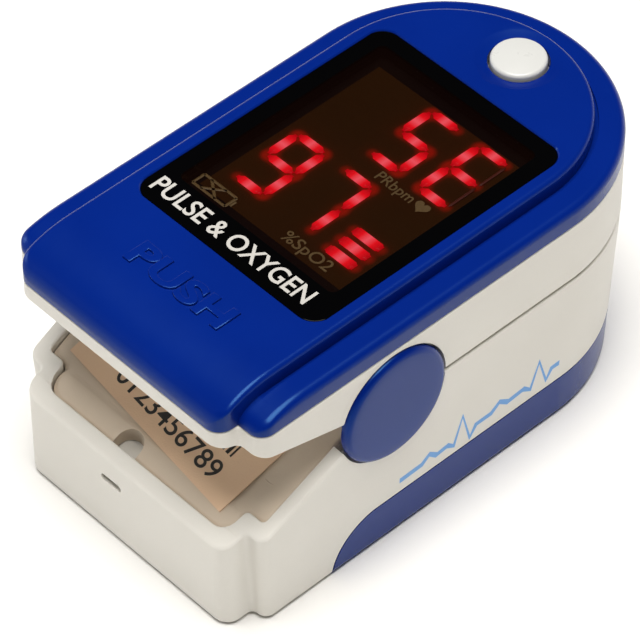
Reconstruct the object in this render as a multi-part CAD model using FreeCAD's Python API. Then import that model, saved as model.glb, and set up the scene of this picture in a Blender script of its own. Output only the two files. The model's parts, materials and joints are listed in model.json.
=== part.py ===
import FreeCAD, Part
import math
import os
from FreeCAD import Vector

os.makedirs("parts", exist_ok=True)

# Fingertip pulse oximeter, a spring clip of two jaws. Millimetres.
# X runs across the jaws, Y from the push end to the finger end, Z up.
# The origin is the middle of the underside.

# ---- overall plan outline, the same for both jaws ----
length = 61.0
width = 35.0
nose_half = 14.4          # half width of the push end
step_depth = 2.5          # how far the push end stands out of the shoulders
nose_corner = 1.8
notch_corner = 0.6
shoulder_corner = 1.6
lower_nose_half = 14.8    # the push end of the lower jaw is a little wider
lower_shoulder_corner = 1.2
floor_inset = 0.9         # the lower jaw tapers in by this much at the floor
floor_fillet = 0.8

# ---- heights of the parting lines ----
seam_z = 19.6             # between the two jaws, behind the hinge
parting_z = 27.4          # between the upper shell and the top cover
skirt_z = 29.8            # top of the low border of the top cover
plateau_z = 31.4          # top of the raised panel of the top cover
seam_gap = 0.2
cover_gap = 0.1           # between two moulded pieces that are fixed together

# ---- walls ----
wall = 1.6
cover_wall = 1.4
cover_floor = 1.3
roof = 1.5
deck = 1.3                # plates that close the side pockets at the seam
bay_ceiling = 0.8
shell_floor = 0.8

# ---- push end ----
rim_z = 11.2              # rim of the lower jaw at the push end
rim_slope = 0.48
edge_z = 25.2             # edge of the upper shell at the push end
edge_slope = -0.277
panel_recess = 0.6
panel_thick = 1.4
roll_length = 7.0         # the raised panel rolls down over this length
shoulder_roll = 6.0

# ---- hinge ----
hinge_back = 19.6         # from the push end
hinge_z = 20.0
pin_radius = 1.0
pin_play = 0.05
ear_radius = 4.2
ear_thick = 1.7
ear_gap = 0.2
cap_radius = 6.6
cap_proud = 0.5
cap_gap = 0.25
cap_chamfer = 0.45

# ---- finger channel ----
channel_half = 9.0
channel_low = 14.1
channel_high = 24.1
channel_corner = 4.2
channel_start = hinge_back + 6.4
pad_thick_x = 1.8
pad_thick_z = 1.0
pad_stop = 1.5
pad_play = 0.1
pad_edge = 0.4            # the pads end this far inside the outline

# ---- batteries, two AAA cells side by side ----
cell_radius = 5.25
cell_length = 44.5
cell_nub_radius = 1.9
cell_nub = 0.8
cell_play = 0.15
contact_thick = 0.3
spring_length = 3.2
spring_wire = 0.5
bay_front = 5.9           # from the push end

# ---- battery cover ----
cover_side_z = 5.6
cover_foot = 12.4         # from the push end, at the floor
cover_rise = 5.3          # length over which its front edge sweeps up
cover_play = 0.1
rail_depth = 0.5
rail_height = 0.8
rail_z = 4.0
rail_start = 21.0
rail_end = 42.0

# ---- window and display ----
window_half = 12.8
window_front = 13.6
window_back = 47.0
window_thick = 1.1
window_corner = 2.0
window_ledge = 1.6
window_play = 0.05
board_z = 26.2
board_thick = 1.0
board_half = 12.2
board_front = 4.6
board_inset = 2.2
display_half = 11.0
display_front = 15.0
display_back = 45.6
display_thick = 2.4
segment_proud = 0.08
digit_width = 4.5
digit_height = 9.1
digit_pitch = 6.55
digit_first_x = -6.73
lower_row = 27.25         # middle of the lower row of digits, from the push end
upper_row = 39.05
segment_width = 0.85
segment_gap = 0.25
bar_length = 3.9
bar_pitch = 1.75

# ---- button ----
button_back = 53.3
button_radius = 3.0
button_top = 32.0
button_dome = 0.8
button_play = 0.15
button_travel = 0.4
flange_radius = 3.7
dish_radius = 4.6
dish_depth = 0.5
switch_half = 2.25
switch_thick = 1.0
plunger_radius = 1.0

# ---- light sensor ----
sensor_back = 38.0
lens_radius = 2.2

# ---- screws and small hardware ----
screw_radius = 0.8
screw_head_radius = 1.5
screw_head = 1.0
boss_radius = 1.5
case_screw_x = 14.0
case_screws_back = (11.5, 44.0)
panel_screw_x = 12.8
panel_screw_back = 9.0
panel_screw_seat = 7.0
lanyard_x = -1.7
lanyard_z = 8.1
lanyard_width = 2.9
lanyard_height = 0.9
thumb_radius = 1.6
coil_wire = 0.7
coil_radius = 2.0
coil_half = 4.2
coil_turns = 9
contact_turns = 3
contact_radius = 2.2
leg_back = hinge_back - 8.1
ribbon_x = (5.6, 10.0)
ribbon_back = hinge_back + 3.6
ribbon_thick = 0.2
label_width = 25.0
label_length = 11.0
label_thick = 0.15
label_turn = -7.0
label_middle_x = -0.8
label_middle_back = 9.2

# ---- places worked out from the values above ----
y_nose = -length / 2
y_tail = length / 2
y_arc = y_tail - width / 2
y_hinge = y_nose + hinge_back
lower_top = seam_z - seam_gap / 2
upper_bottom = seam_z + seam_gap / 2
pad_half = channel_half + pad_thick_x
pad_low = channel_low - pad_thick_z
pad_high = channel_high + pad_thick_z - 0.2
trough_low = pad_low - pad_play
trough_high = pad_high + pad_play
bay_top = trough_low - bay_ceiling
bay_half = 2 * cell_radius + 2 * cell_play + 0.1
cell_x = cell_radius + cell_play
floor_thick = cover_floor + cover_play
cell_z = floor_thick + cell_play + cell_radius
bay_back = bay_front + 2 * contact_thick + spring_length + cell_length
shell_floor_top = trough_high + shell_floor
board_top = board_z + board_thick
lower_ear_x = width / 2 - wall - 2 * ear_thick - ear_gap - 0.2
upper_ear_x = lower_ear_x + ear_thick + ear_gap
cap_inner_x = upper_ear_x + ear_thick + 0.1
cap_outer_x = width / 2 + cap_proud
window_z = plateau_z - 0.1 - window_thick
panel_end = hinge_back - ear_radius - 0.3
cheek_x = pad_half + pad_play + 1.0
FAR = 100.0


def back(distance):
    """Y of a point this far behind the push end."""
    return y_nose + distance


def box(x0, x1, y0, y1, z0, z1):
    return Part.makeBox(x1 - x0, y1 - y0, z1 - z0, Vector(x0, y0, z0))


def rod_x(radius, x0, x1, y, z):
    return Part.makeCylinder(radius, x1 - x0, Vector(x0, y, z), Vector(1, 0, 0))


def rod_z(radius, x, y, z0, z1):
    return Part.makeCylinder(radius, z1 - z0, Vector(x, y, z0))


def fuse(shapes):
    joined = shapes[0]
    for shape in shapes[1:]:
        joined = joined.fuse(shape)
    return joined.removeSplitter()


def line(a, b):
    return Part.LineSegment(a, b).toShape()


def arc(a, middle, b):
    return Part.Arc(a, middle, b).toShape()


def corner(centre_x, centre_y, radius, start, end, z):
    """Quarter arc about a centre, from one angle to another in degrees."""
    points = []
    for angle in (start, (start + end) / 2, end):
        turn = math.radians(angle)
        points.append(Vector(centre_x + radius * math.cos(turn), centre_y + radius * math.sin(turn), z))
    return arc(*points)


def outline(inset, z, nose=nose_half, shoulder=shoulder_corner, draft=0):
    """Plan outline of a jaw, moved in by inset, at height z.

    The draft moves in only the sides and the tail, and not the nose.
    """
    hw = width / 2 - inset - draft
    nh = nose - inset
    y0 = y_nose + inset
    ys = y_nose + step_depth + inset + draft
    rn = max(nose_corner - inset, 0.2)
    rs = max(shoulder - inset, 0.2)
    rv = min(notch_corner + inset, step_depth - rn - 0.05, hw - nh - rs - 0.05)
    right = [
        corner(nh - rn, y0 + rn, rn, -90, 0, z),
        line(Vector(nh, y0 + rn, z), Vector(nh, ys - rv, z)),
        corner(nh + rv, ys - rv, rv, 180, 90, z),
        line(Vector(nh + rv, ys, z), Vector(hw - rs, ys, z)),
        corner(hw - rs, ys + rs, rs, -90, 0, z),
        line(Vector(hw, ys + rs, z), Vector(hw, y_arc, z)),
    ]
    front = line(Vector(-nh + rn, y0, z), Vector(nh - rn, y0, z))
    tail = arc(Vector(hw, y_arc, z), Vector(0, y_arc + hw, z), Vector(-hw, y_arc, z))
    left = [edge.mirror(Vector(0, 0, 0), Vector(1, 0, 0)) for edge in reversed(right)]
    return Part.Wire([front] + right + [tail] + left)


def block(z0, z1, inset0, inset1):
    """Closed solid between the outline at two heights."""
    return Part.makeLoft([outline(inset0, z0), outline(inset1, z1)], True, True)


def jaw_inset(z):
    """How far the tapered lower jaw stands in at height z."""
    return floor_inset * (seam_z - z) / seam_z


def tapered(inset, z0, z1):
    """Closed solid between two heights inside the tapered wall of the lower jaw."""
    ends = []
    for z in (z0, z1):
        ends.append(outline(inset, z, lower_nose_half, lower_shoulder_corner, jaw_inset(z)))
    return Part.makeLoft(ends, True, True)


def prism_x(points, x0, x1):
    """Extrude a closed outline of (y, z) points along X."""
    corners = [Vector(x0, y, z) for y, z in points]
    face = Part.Face(Part.makePolygon(corners + corners[:1]))
    return face.extrude(Vector(x1 - x0, 0, 0))


def finger_prism(half, low, high, radius, y0, y1):
    """Rounded rectangle across the finger, swept along Y."""
    solid = box(-half, half, y0, y1, low, high)
    edges = []
    for edge in solid.Edges:
        start, end = edge.Vertexes[0].Point, edge.Vertexes[1].Point
        if abs(start.y - end.y) > 1:
            edges.append(edge)
    return solid.makeFillet(radius, edges)


def plateau_outline(inset, z):
    """Outline of the raised panel of the top cover."""
    hw = nose_half - inset
    rn = max(nose_corner - inset, 0.3)
    y0 = y_nose + inset
    edges = [
        line(Vector(-hw + rn, y0, z), Vector(hw - rn, y0, z)),
        corner(hw - rn, y0 + rn, rn, -90, 0, z),
        line(Vector(hw, y0 + rn, z), Vector(hw, y_arc, z)),
        arc(Vector(hw, y_arc, z), Vector(0, y_arc + hw, z), Vector(-hw, y_arc, z)),
        line(Vector(-hw, y_arc, z), Vector(-hw, y0 + rn, z)),
        corner(-hw + rn, y0 + rn, rn, 180, 270, z),
    ]
    return Part.Wire(edges)


def plateau_block(inset, z0, z1):
    return Part.Face(plateau_outline(inset, z0)).extrude(Vector(0, 0, z1 - z0))


def roll_profile(y_start, run, z0, z1):
    """Side view that rises from z0 at y_start in a quarter ellipse to z1."""
    rise = z1 - z0
    steps = 12
    curve = []
    for i in range(steps + 1):
        turn = math.pi / 2 * i / steps
        curve.append(Vector(-FAR, y_start + run * (1 - math.cos(turn)), z0 + rise * math.sin(turn)))
    spline = Part.BSplineCurve()
    spline.interpolate(curve, InitialTangent=Vector(0, 0, 1), FinalTangent=Vector(0, 1, 0))
    far_top = Vector(-FAR, FAR, z1)
    far_low = Vector(-FAR, FAR, z0)
    wire = Part.Wire([
        spline.toShape(),
        line(curve[-1], far_top),
        line(far_top, far_low),
        line(far_low, curve[0]),
    ])
    return Part.Face(wire).extrude(Vector(2 * FAR, 0, 0))


def both_sides(make):
    """The same shape on the right and, mirrored, on the left."""
    right = make()
    return [right, right.mirror(Vector(0, 0, 0), Vector(1, 0, 0))]


def wire_along(points, wire):
    """Closed solid of eight sided wire that follows a list of points."""
    sides = 8
    rings = []
    for i, point in enumerate(points):
        before = points[max(i - 1, 0)]
        after = points[min(i + 1, len(points) - 1)]
        ahead = (after - before).normalize()
        across = ahead.cross(Vector(1, 0, 0)).normalize()
        if i:
            across = (across_before - ahead * across_before.dot(ahead)).normalize()
        across_before = across
        other = ahead.cross(across)
        ring = []
        for k in range(sides):
            turn = 2 * math.pi * k / sides
            ring.append(point + across * (wire / 2 * math.cos(turn)) + other * (wire / 2 * math.sin(turn)))
        rings.append(Part.makePolygon(ring + ring[:1]))
    return Part.makeLoft(rings, True, True)


def turns_about_x(radius, x0, x1, y, z, start, turns):
    """Points of a helix about a line along X; start is an angle from +Y towards +Z."""
    steps = int(14 * abs(turns))
    points = []
    for i in range(steps + 1):
        share = i / steps
        turn = math.radians(start) + 2 * math.pi * turns * share
        points.append(Vector(x0 + (x1 - x0) * share, y + radius * math.cos(turn), z + radius * math.sin(turn)))
    return points


def screw(x, y, seat, tip):
    """Pan head screw driven upwards: head below seat, shank to tip."""
    head = rod_z(screw_head_radius, x, y, seat - screw_head, seat)
    shank = rod_z(screw_radius, x, y, seat, tip)
    slot = box(x - 1.1, x + 1.1, y - 0.2, y + 0.2, seat - screw_head, seat - screw_head + 0.4)
    cross = box(x - 0.2, x + 0.2, y - 1.1, y + 1.1, seat - screw_head, seat - screw_head + 0.4)
    return fuse([head, shank]).cut(slot).cut(cross)


# ---- lower jaw ----

def lower_outer():
    """Full outer shape of the lower jaw, before the battery cover is parted off."""
    solid = tapered(0, 0, lower_top)
    low_edges = []
    for edge in solid.Edges:
        if all(abs(vertex.Point.z) < 1e-6 for vertex in edge.Vertexes):
            low_edges.append(edge)
    return solid.makeFillet(floor_fillet, low_edges)


def cover_side(play):
    """Everything below and behind the sweeping front edge of the battery cover."""
    foot = back(cover_foot) - play
    top = cover_side_z + play
    crest = back(cover_foot + cover_rise)
    middle = Vector(-FAR, foot + cover_rise * 0.29, top * 0.66)
    start = Vector(-FAR, foot, -1)
    toe = Vector(-FAR, foot, 0)
    end = Vector(-FAR, crest, top)
    far_top = Vector(-FAR, FAR, top)
    far_low = Vector(-FAR, FAR, -1)
    wire = Part.Wire([
        line(start, toe),
        arc(toe, middle, end),
        line(end, far_top),
        line(far_top, far_low),
        line(far_low, start),
    ])
    return Part.Face(wire).extrude(Vector(2 * FAR, 0, 0))


def rail(play):
    """Rib along the inside of the battery cover, on the right."""
    x_face = width / 2 - jaw_inset(rail_z) - cover_wall
    half = rail_height / 2 + play
    y_end = FAR if play else back(rail_end)
    start = back(rail_start) - play
    return box(x_face - rail_depth - play, x_face + 0.4, start, y_end, rail_z - half, rail_z + half)


def battery_cover():
    tray = lower_outer().common(cover_side(0))
    inside = tapered(cover_wall, cover_floor, cover_side_z + 1)
    tray = tray.cut(inside)
    ribs = both_sides(lambda: rail(0))
    tray = fuse([tray] + ribs)
    for i in range(4):
        start = back(cover_foot + 6 + 2 * i)
        tray = tray.cut(box(-7 + i, 7 - i, start, start + 0.9, -1, 0.4))
    return tray


def panel_plane(distance):
    """Height of the panel's upper face this far behind the push end."""
    return rim_z + rim_slope * distance - panel_recess


def panel_drop():
    """Upright thickness of the sloping panel."""
    return panel_thick * math.hypot(1, rim_slope)


def panel_space():
    """Room in the lower jaw for the sloping panel and all above it."""
    under = -panel_drop() - cover_gap
    end = panel_end + cover_gap
    return prism_x([
        (back(0), panel_plane(0) + under),
        (back(end), panel_plane(end) + under),
        (back(end), FAR),
        (back(0), FAR),
    ], -FAR, FAR)


def bay_space():
    """Room for the two cells, open below behind the foot of the cover.

    At its front it reaches up to the sloping panel, which closes it there.
    """
    lip_end = (trough_low + panel_drop() + panel_recess - rim_z) / rim_slope
    closed = fuse([
        box(-bay_half, bay_half, back(bay_front), back(cover_foot + 1.0), floor_thick, bay_top),
        box(-bay_half, bay_half, back(bay_front), back(lip_end), floor_thick, trough_low + 0.1),
    ])
    open_part = box(-bay_half, bay_half, back(cover_foot + 1.0), back(bay_back), -1, bay_top)
    return fuse([closed, open_part])


def lower_side_pocket():
    """Core that lightens the wall beside the bay, open below."""
    x1 = width / 2 - floor_inset - cover_wall - wall + 0.4
    front = box(cheek_x, x1, back(hinge_back - 4), back(channel_start), -1, bay_top - 0.4)
    rear = box(cheek_x, x1, back(channel_start), back(length - 13), -1, lower_top - deck)
    return fuse([front, rear])


def lower_ear():
    y0 = y_hinge - ear_radius
    y1 = y_hinge + ear_radius
    x1 = lower_ear_x + ear_thick
    plate = box(lower_ear_x, x1, y0, y1, trough_low - 0.4, hinge_z)
    return fuse([plate, rod_x(ear_radius, lower_ear_x, x1, y_hinge, hinge_z)])


def lower_body():
    body = lower_outer()
    taken = cover_side(cover_play)
    core = tapered(cover_wall + cover_play, floor_thick, seam_z)
    body = body.cut(taken.cut(core))
    rim_end = (lower_top - rim_z) / rim_slope
    body = body.cut(prism_x([
        (back(-3), rim_z - 3 * rim_slope),
        (back(rim_end), lower_top),
        (back(rim_end), FAR),
        (back(-3), FAR),
    ], -FAR, FAR))
    front = tapered(wall, floor_thick, lower_top + 1)
    body = body.cut(front.common(box(-FAR, FAR, -FAR, back(bay_front - 0.8), -1, FAR)))
    body = body.cut(front.common(box(-FAR, FAR, -FAR, back(channel_start - pad_stop - pad_play), trough_low, FAR)))
    body = body.cut(front.common(panel_space()))
    body = body.cut(bay_space())
    for pocket in both_sides(lower_side_pocket):
        body = body.cut(pocket)
    for groove in both_sides(lambda: rail(cover_play)):
        body = body.cut(groove)
    start = back(channel_start - pad_stop - pad_play)
    body = body.cut(finger_prism(pad_half + pad_play, trough_low, FAR, channel_corner + 1, start, FAR))
    x0 = cap_inner_x - 0.1
    for hole in both_sides(lambda: rod_x(cap_radius + cap_gap, x0, FAR, y_hinge, hinge_z)):
        body = body.cut(hole)
    body = fuse([body] + both_sides(lower_ear))
    body = body.cut(rod_x(pin_radius + pin_play, -FAR, FAR, y_hinge, hinge_z))
    for x in (-panel_screw_x, panel_screw_x):
        y = back(panel_screw_back)
        body = body.cut(rod_z(screw_head_radius + 0.2, x, y, -1, panel_screw_seat))
        body = body.cut(rod_z(screw_radius + 0.1, x, y, -1, FAR))
    slot_half = lanyard_width / 2 - lanyard_height / 2
    for x in (-slot_half, slot_half):
        end = Part.makeCylinder(
            lanyard_height / 2, wall + 2, Vector(lanyard_x + x, back(-1), lanyard_z), Vector(0, 1, 0))
        body = body.cut(end)
    half = lanyard_height / 2
    body = body.cut(box(
        lanyard_x - slot_half, lanyard_x + slot_half, back(-1), back(wall + 1), lanyard_z - half, lanyard_z + half))
    return body


def inner_panel():
    """Sloping floor of the jaw gap, held inside the rim of the lower jaw."""
    end = panel_end
    drop = panel_drop()
    side = prism_x([
        (back(0), panel_plane(0)),
        (back(end), panel_plane(end)),
        (back(end), panel_plane(end) - drop),
        (back(0), panel_plane(0) - drop),
    ], -FAR, FAR)
    panel = side.common(tapered(wall + cover_gap, 1, lower_top))
    y = back(panel_screw_back)
    low = trough_low + 0.02
    bosses = []
    for x in (-panel_screw_x, panel_screw_x):
        bosses.append(rod_z(boss_radius, x, y, low, panel_plane(panel_screw_back) - 0.8))
    panel = fuse([panel] + bosses)
    for x in (-panel_screw_x, panel_screw_x):
        panel = panel.cut(rod_z(screw_radius, x, y, low - 1, low + 1.2))
    thumb_y = back(wall + cover_gap + 0.7)
    recess = fuse([
        rod_z(thumb_radius, lanyard_x, thumb_y, 0, FAR),
        box(lanyard_x - thumb_radius, lanyard_x + thumb_radius, back(0), thumb_y, 0, FAR),
    ])
    return panel.cut(recess)


def panel_label():
    """Paper label stuck on the panel, set a few degrees askew."""
    sheet = box(-label_width / 2, label_width / 2, -label_length / 2, label_length / 2, 0, label_thick)
    sheet.rotate(Vector(0, 0, 0), Vector(0, 0, 1), label_turn)
    sheet.rotate(Vector(0, 0, 0), Vector(1, 0, 0), math.degrees(math.atan(rim_slope)))
    sheet.translate(Vector(label_middle_x, back(label_middle_back), panel_plane(label_middle_back)))
    return sheet.common(box(-FAR, FAR, -FAR, back(panel_end - 0.2), 0, FAR))


def panel_screws():
    y = back(panel_screw_back)
    tip = trough_low + 1.2
    return [screw(x, y, panel_screw_seat, tip) for x in (-panel_screw_x, panel_screw_x)]


def battery(x, front_is_plus):
    """One AAA cell along Y with its nub at one end."""
    start = bay_front + contact_thick
    if not front_is_plus:
        start += spring_length
    y0 = back(start + (cell_nub if front_is_plus else 0))
    can = Part.makeCylinder(cell_radius, cell_length - cell_nub, Vector(x, y0, cell_z), Vector(0, 1, 0))
    nub_y = y0 - cell_nub if front_is_plus else y0 + cell_length - cell_nub
    nub = Part.makeCylinder(cell_nub_radius, cell_nub, Vector(x, nub_y, cell_z), Vector(0, 1, 0))
    return fuse([can, nub])


def contact_spring(x, y0, y1):
    """Cell spring: turns about Y, narrower towards the cell."""
    steps = 14 * contact_turns
    half = spring_wire / 2
    points = []
    for i in range(steps + 1):
        share = i / steps
        turn = 2 * math.pi * contact_turns * share
        radius = contact_radius - 0.6 * share
        y = y0 + half + (y1 - y0 - 2 * half) * share
        points.append(Vector(x + radius * math.cos(turn), y, cell_z + radius * math.sin(turn)))
    return wire_along(points, spring_wire)


def front_contacts():
    y0 = back(bay_front)
    plates = []
    for x in (-cell_x, cell_x):
        plates.append(box(x - 4, x + 4, y0, y0 + contact_thick, cell_z - 3.5, cell_z + 3.5))
    return plates


def rear_contact():
    y1 = back(bay_back)
    return box(-cell_x - 4, cell_x + 4, y1 - contact_thick, y1, cell_z - 3.5, cell_z + 3.5)


def finger_pad(low, high, taper):
    """Half of the soft channel round the finger, with its end stop."""
    y0 = back(channel_start - pad_stop)
    pad = finger_prism(pad_half, pad_low, pad_high, channel_corner + 0.9, y0, FAR)
    pad = pad.cut(finger_prism(
        channel_half, channel_low, channel_high, channel_corner, back(channel_start), FAR))
    pad = pad.common(box(-FAR, FAR, -FAR, FAR, low, high))
    limit = tapered(pad_edge, 0, seam_z) if taper else block(seam_z, parting_z, pad_edge, pad_edge)
    return pad.common(limit)


def lower_pad():
    pad = finger_pad(0, lower_top, True)
    y = back(sensor_back)
    pad = pad.cut(box(-4.1, 4.1, y - 5.1, y + 5.1, 0, pad_low + 0.4))
    return pad.cut(rod_z(lens_radius + 0.1, 0, y, 0, seam_z))


def upper_pad():
    pad = finger_pad(upper_bottom, FAR, False)
    return pad.cut(rod_z(lens_radius + 0.1, 0, back(sensor_back), seam_z, FAR))


def sensor_board():
    y = back(sensor_back)
    return box(-4, 4, y - 5, y + 5, trough_low, trough_low + 0.4)


def photodiode():
    y = back(sensor_back)
    return box(-1.5, 1.5, y - 1.5, y + 1.5, trough_low + 0.4, trough_low + 0.8)


def sensor_lens():
    """Clear window over the photodiode, hollow beneath."""
    y = back(sensor_back)
    lens = rod_z(lens_radius, 0, y, trough_low + 0.4, channel_low)
    return lens.cut(rod_z(lens_radius - 0.05, 0, y, trough_low, trough_low + 0.8))


def hinge_pin():
    half = cap_outer_x - 1.1
    return rod_x(pin_radius, -half, half, y_hinge, hinge_z)


def hinge_cap():
    cap = rod_x(cap_radius, cap_inner_x, cap_outer_x, y_hinge, hinge_z)
    outer_edges = []
    for edge in cap.Edges:
        if all(abs(vertex.Point.x - cap_outer_x) < 1e-6 for vertex in edge.Vertexes):
            outer_edges.append(edge)
    cap = cap.makeChamfer(cap_chamfer, outer_edges)
    return cap.cut(rod_x(pin_radius, 0, cap_outer_x - 1.1, y_hinge, hinge_z))


def torsion_spring():
    """Coil about the hinge pin whose two legs push the push ends apart."""
    tip_y = back(leg_back)
    half = coil_wire / 2
    upper_tip = Vector(-coil_half, tip_y, trough_high - half - 0.1)
    lower_tip = Vector(coil_half, tip_y, trough_low + half + 0.1)
    wound = turns_about_x(coil_radius, -coil_half, coil_half, y_hinge, hinge_z, 90, -coil_turns + 0.5)
    return wire_along([upper_tip] + wound + [lower_tip], coil_wire)


def power_connector():
    y = back(ribbon_back)
    return box(ribbon_x[0] - 0.4, ribbon_x[1] + 0.4, y - 2.4, y + 0.8, trough_low, trough_low + 1.6)


def flex_ribbon():
    y = back(ribbon_back)
    return box(ribbon_x[0], ribbon_x[1], y - ribbon_thick, y, trough_low + 1.6, board_z)


# ---- upper jaw ----

def upper_ear():
    y0 = y_hinge - ear_radius
    y1 = y_hinge + ear_radius
    x1 = upper_ear_x + ear_thick
    plate = box(upper_ear_x, x1, y0, y1, hinge_z, trough_high + 0.4)
    return fuse([plate, rod_x(ear_radius, upper_ear_x, x1, y_hinge, hinge_z)])


def upper_shell():
    shell = block(upper_bottom, parting_z, 0, 0)
    edge_end = (upper_bottom - edge_z) / edge_slope
    shell = shell.cut(prism_x([
        (back(-3), edge_z - 3 * edge_slope),
        (back(edge_end), upper_bottom),
        (back(edge_end), 0),
        (back(-3), 0),
    ], -FAR, FAR))
    start = back(channel_start - pad_stop - pad_play)
    under = block(0, trough_high, wall, wall).common(box(-FAR, FAR, -FAR, start, 0, FAR))
    shell = shell.cut(under)
    shell = shell.cut(block(shell_floor_top, parting_z + 1, wall, wall))
    shell = shell.cut(finger_prism(
        pad_half + pad_play, 0, trough_high, channel_corner + 1, start, FAR))
    for pocket in both_sides(lambda: box(
            cheek_x, width / 2 - wall, back(channel_start + 2), back(case_screws_back[1] - 3),
            upper_bottom + deck, FAR)):
        shell = shell.cut(pocket)
    x0 = cap_inner_x - 0.1
    for hole in both_sides(lambda: rod_x(cap_radius + cap_gap, x0, FAR, y_hinge, hinge_z)):
        shell = shell.cut(hole)
    shell = fuse([shell] + both_sides(upper_ear))
    shell = shell.cut(rod_x(pin_radius + pin_play, -FAR, FAR, y_hinge, hinge_z))
    posts = []
    for x in (-board_half + 2, board_half - 2):
        for distance in (board_front + 3, length - 11):
            posts.append(rod_z(1.0, x, back(distance), shell_floor_top - 0.1, board_z))
    shell = fuse([shell] + posts)
    for x in (-case_screw_x, case_screw_x):
        for distance in case_screws_back:
            y = back(distance)
            shell = shell.cut(rod_z(screw_head_radius + 0.2, x, y, 0, trough_high))
            shell = shell.cut(rod_z(screw_radius + 0.1, x, y, 0, FAR))
    y = back(sensor_back)
    shell = shell.cut(box(-2.6, 2.6, y - 2.2, y + 2.2, trough_high - 1, FAR))
    y = back(ribbon_back)
    return shell.cut(box(ribbon_x[0] - 0.3, ribbon_x[1] + 0.3, y - 0.8, y + 0.5, trough_high - 1, FAR))


def case_screws():
    tip = parting_z + 0.6
    screws = []
    for x in (-case_screw_x, case_screw_x):
        for distance in case_screws_back:
            screws.append(screw(x, back(distance), trough_high, tip))
    return screws


def rounded_plate(half, y0, y1, z0, z1, radius):
    plate = box(-half, half, y0, y1, z0, z1)
    upright = []
    for edge in plate.Edges:
        if abs(edge.Vertexes[0].Point.z - edge.Vertexes[1].Point.z) > 0.1:
            upright.append(edge)
    return plate.makeFillet(radius, upright)


def top_edges(solid, z):
    """Edges of a solid that lie wholly at height z."""
    found = []
    for edge in solid.Edges:
        if all(abs(vertex.Point.z - z) < 1e-6 for vertex in edge.Vertexes):
            found.append(edge)
    return found


def top_cover():
    low = parting_z + cover_gap
    skirt = block(low, skirt_z, 0, 0)
    skirt = skirt.makeFillet(0.9, top_edges(skirt, skirt_z))
    shoulder_start = back(step_depth)
    skirt = skirt.common(roll_profile(shoulder_start, shoulder_roll, low, skirt_z))
    groove = plateau_block(-0.5, skirt_z - 0.35, skirt_z + 1)
    skirt = skirt.cut(groove)
    raised = plateau_block(0, low, plateau_z)
    raised = raised.makeFillet(0.6, top_edges(raised, plateau_z))
    raised = raised.common(roll_profile(y_nose, roll_length, low, plateau_z))
    cover = fuse([skirt, raised])
    hollow = block(low - 1, skirt_z - roof, wall, wall)
    cover = cover.cut(hollow.common(box(-FAR, FAR, back(board_front), FAR, 0, FAR)))
    hollow = plateau_block(wall, low - 1, plateau_z - roof)
    cover = cover.cut(hollow.common(box(-FAR, FAR, back(roll_length), FAR, 0, FAR)))
    play = window_play
    front = back(window_front)
    rear = back(window_back)
    cover = cover.cut(rounded_plate(
        window_half + play, front - play, rear + play, window_z, FAR, window_corner + play))
    ledge = window_ledge
    cover = cover.cut(box(
        -window_half + ledge, window_half - ledge, front + ledge, rear - ledge, low, FAR))
    y = back(button_back)
    sphere_radius = (dish_radius ** 2 + dish_depth ** 2) / (2 * dish_depth)
    sphere = Part.makeSphere(sphere_radius, Vector(0, y, plateau_z - dish_depth + sphere_radius))
    cover = cover.cut(sphere)
    collar_low = plateau_z - roof - 0.4
    cover = cover.cut(rod_z(flange_radius + button_play, 0, y, low, collar_low))
    cover = cover.fuse(rod_z(flange_radius + 0.6, 0, y, collar_low, plateau_z - roof + 0.2))
    cover = cover.cut(rod_z(button_radius + button_play, 0, y, low, FAR))
    bosses = []
    for x in (-case_screw_x, case_screw_x):
        for distance in case_screws_back:
            bosses.append(rod_z(boss_radius, x, back(distance), shell_floor_top + 0.05, skirt_z - roof + 0.2))
    cover = fuse([cover] + bosses)
    for x in (-case_screw_x, case_screw_x):
        for distance in case_screws_back:
            cover = cover.cut(rod_z(screw_radius, x, back(distance), 0, parting_z + 0.6))
    return cover


def display_window():
    return rounded_plate(
        window_half, back(window_front), back(window_back), window_z, window_z + window_thick, window_corner)


def main_board():
    board = block(board_z, board_top, board_inset, board_inset)
    board = board.common(box(-board_half, board_half, back(board_front), FAR, 0, FAR))
    return board


def display_module():
    return box(
        -display_half, display_half, back(display_front), back(display_back), board_top, board_top + display_thick)


def segment(x, y, length_of_segment, upright):
    """Six sided bar of the display, lying across or along the digit."""
    half = length_of_segment / 2
    side = segment_width / 2
    points = [(-half, 0), (-half + side, side), (half - side, side), (half, 0),
              (half - side, -side), (-half + side, -side)]
    z = board_top + display_thick
    corners = []
    for along, across in points:
        if upright:
            corners.append(Vector(x + across, y + along, z))
        else:
            corners.append(Vector(x + along, y + across, z))
    face = Part.Face(Part.makePolygon(corners + corners[:1]))
    return face.extrude(Vector(0, 0, segment_proud))


def digit(column, row, lit):
    """Lit segments of one digit; letters are the usual a to g."""
    x = digit_first_x + digit_pitch * column
    y = back(row)
    hw = digit_width / 2
    hh = digit_height / 2
    across = digit_width - 2 * segment_gap
    along = hh - 2 * segment_gap
    places = {
        "a": (x, y + hh, across, False),
        "b": (x + hw, y + hh / 2, along, True),
        "c": (x + hw, y - hh / 2, along, True),
        "d": (x, y - hh, across, False),
        "e": (x - hw, y - hh / 2, along, True),
        "f": (x - hw, y + hh / 2, along, True),
        "g": (x, y, across, False),
    }
    return [segment(*places[name]) for name in lit]


def display_segments():
    bars = []
    bars += digit(0, lower_row, "abcdfg")
    bars += digit(1, lower_row, "abc")
    bars += digit(1, upper_row, "acdfg")
    bars += digit(2, upper_row, "abcdefg")
    x = digit_first_x + digit_pitch * 2
    low = lower_row - digit_height / 2
    for i in range(3):
        bars.append(segment(x, back(low + bar_pitch * i), bar_length, False))
    return bars


def chip(x, distance, wide, deep, tall):
    y = back(distance)
    return box(x - wide / 2, x + wide / 2, y - deep / 2, y + deep / 2, board_top, board_top + tall)


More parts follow.
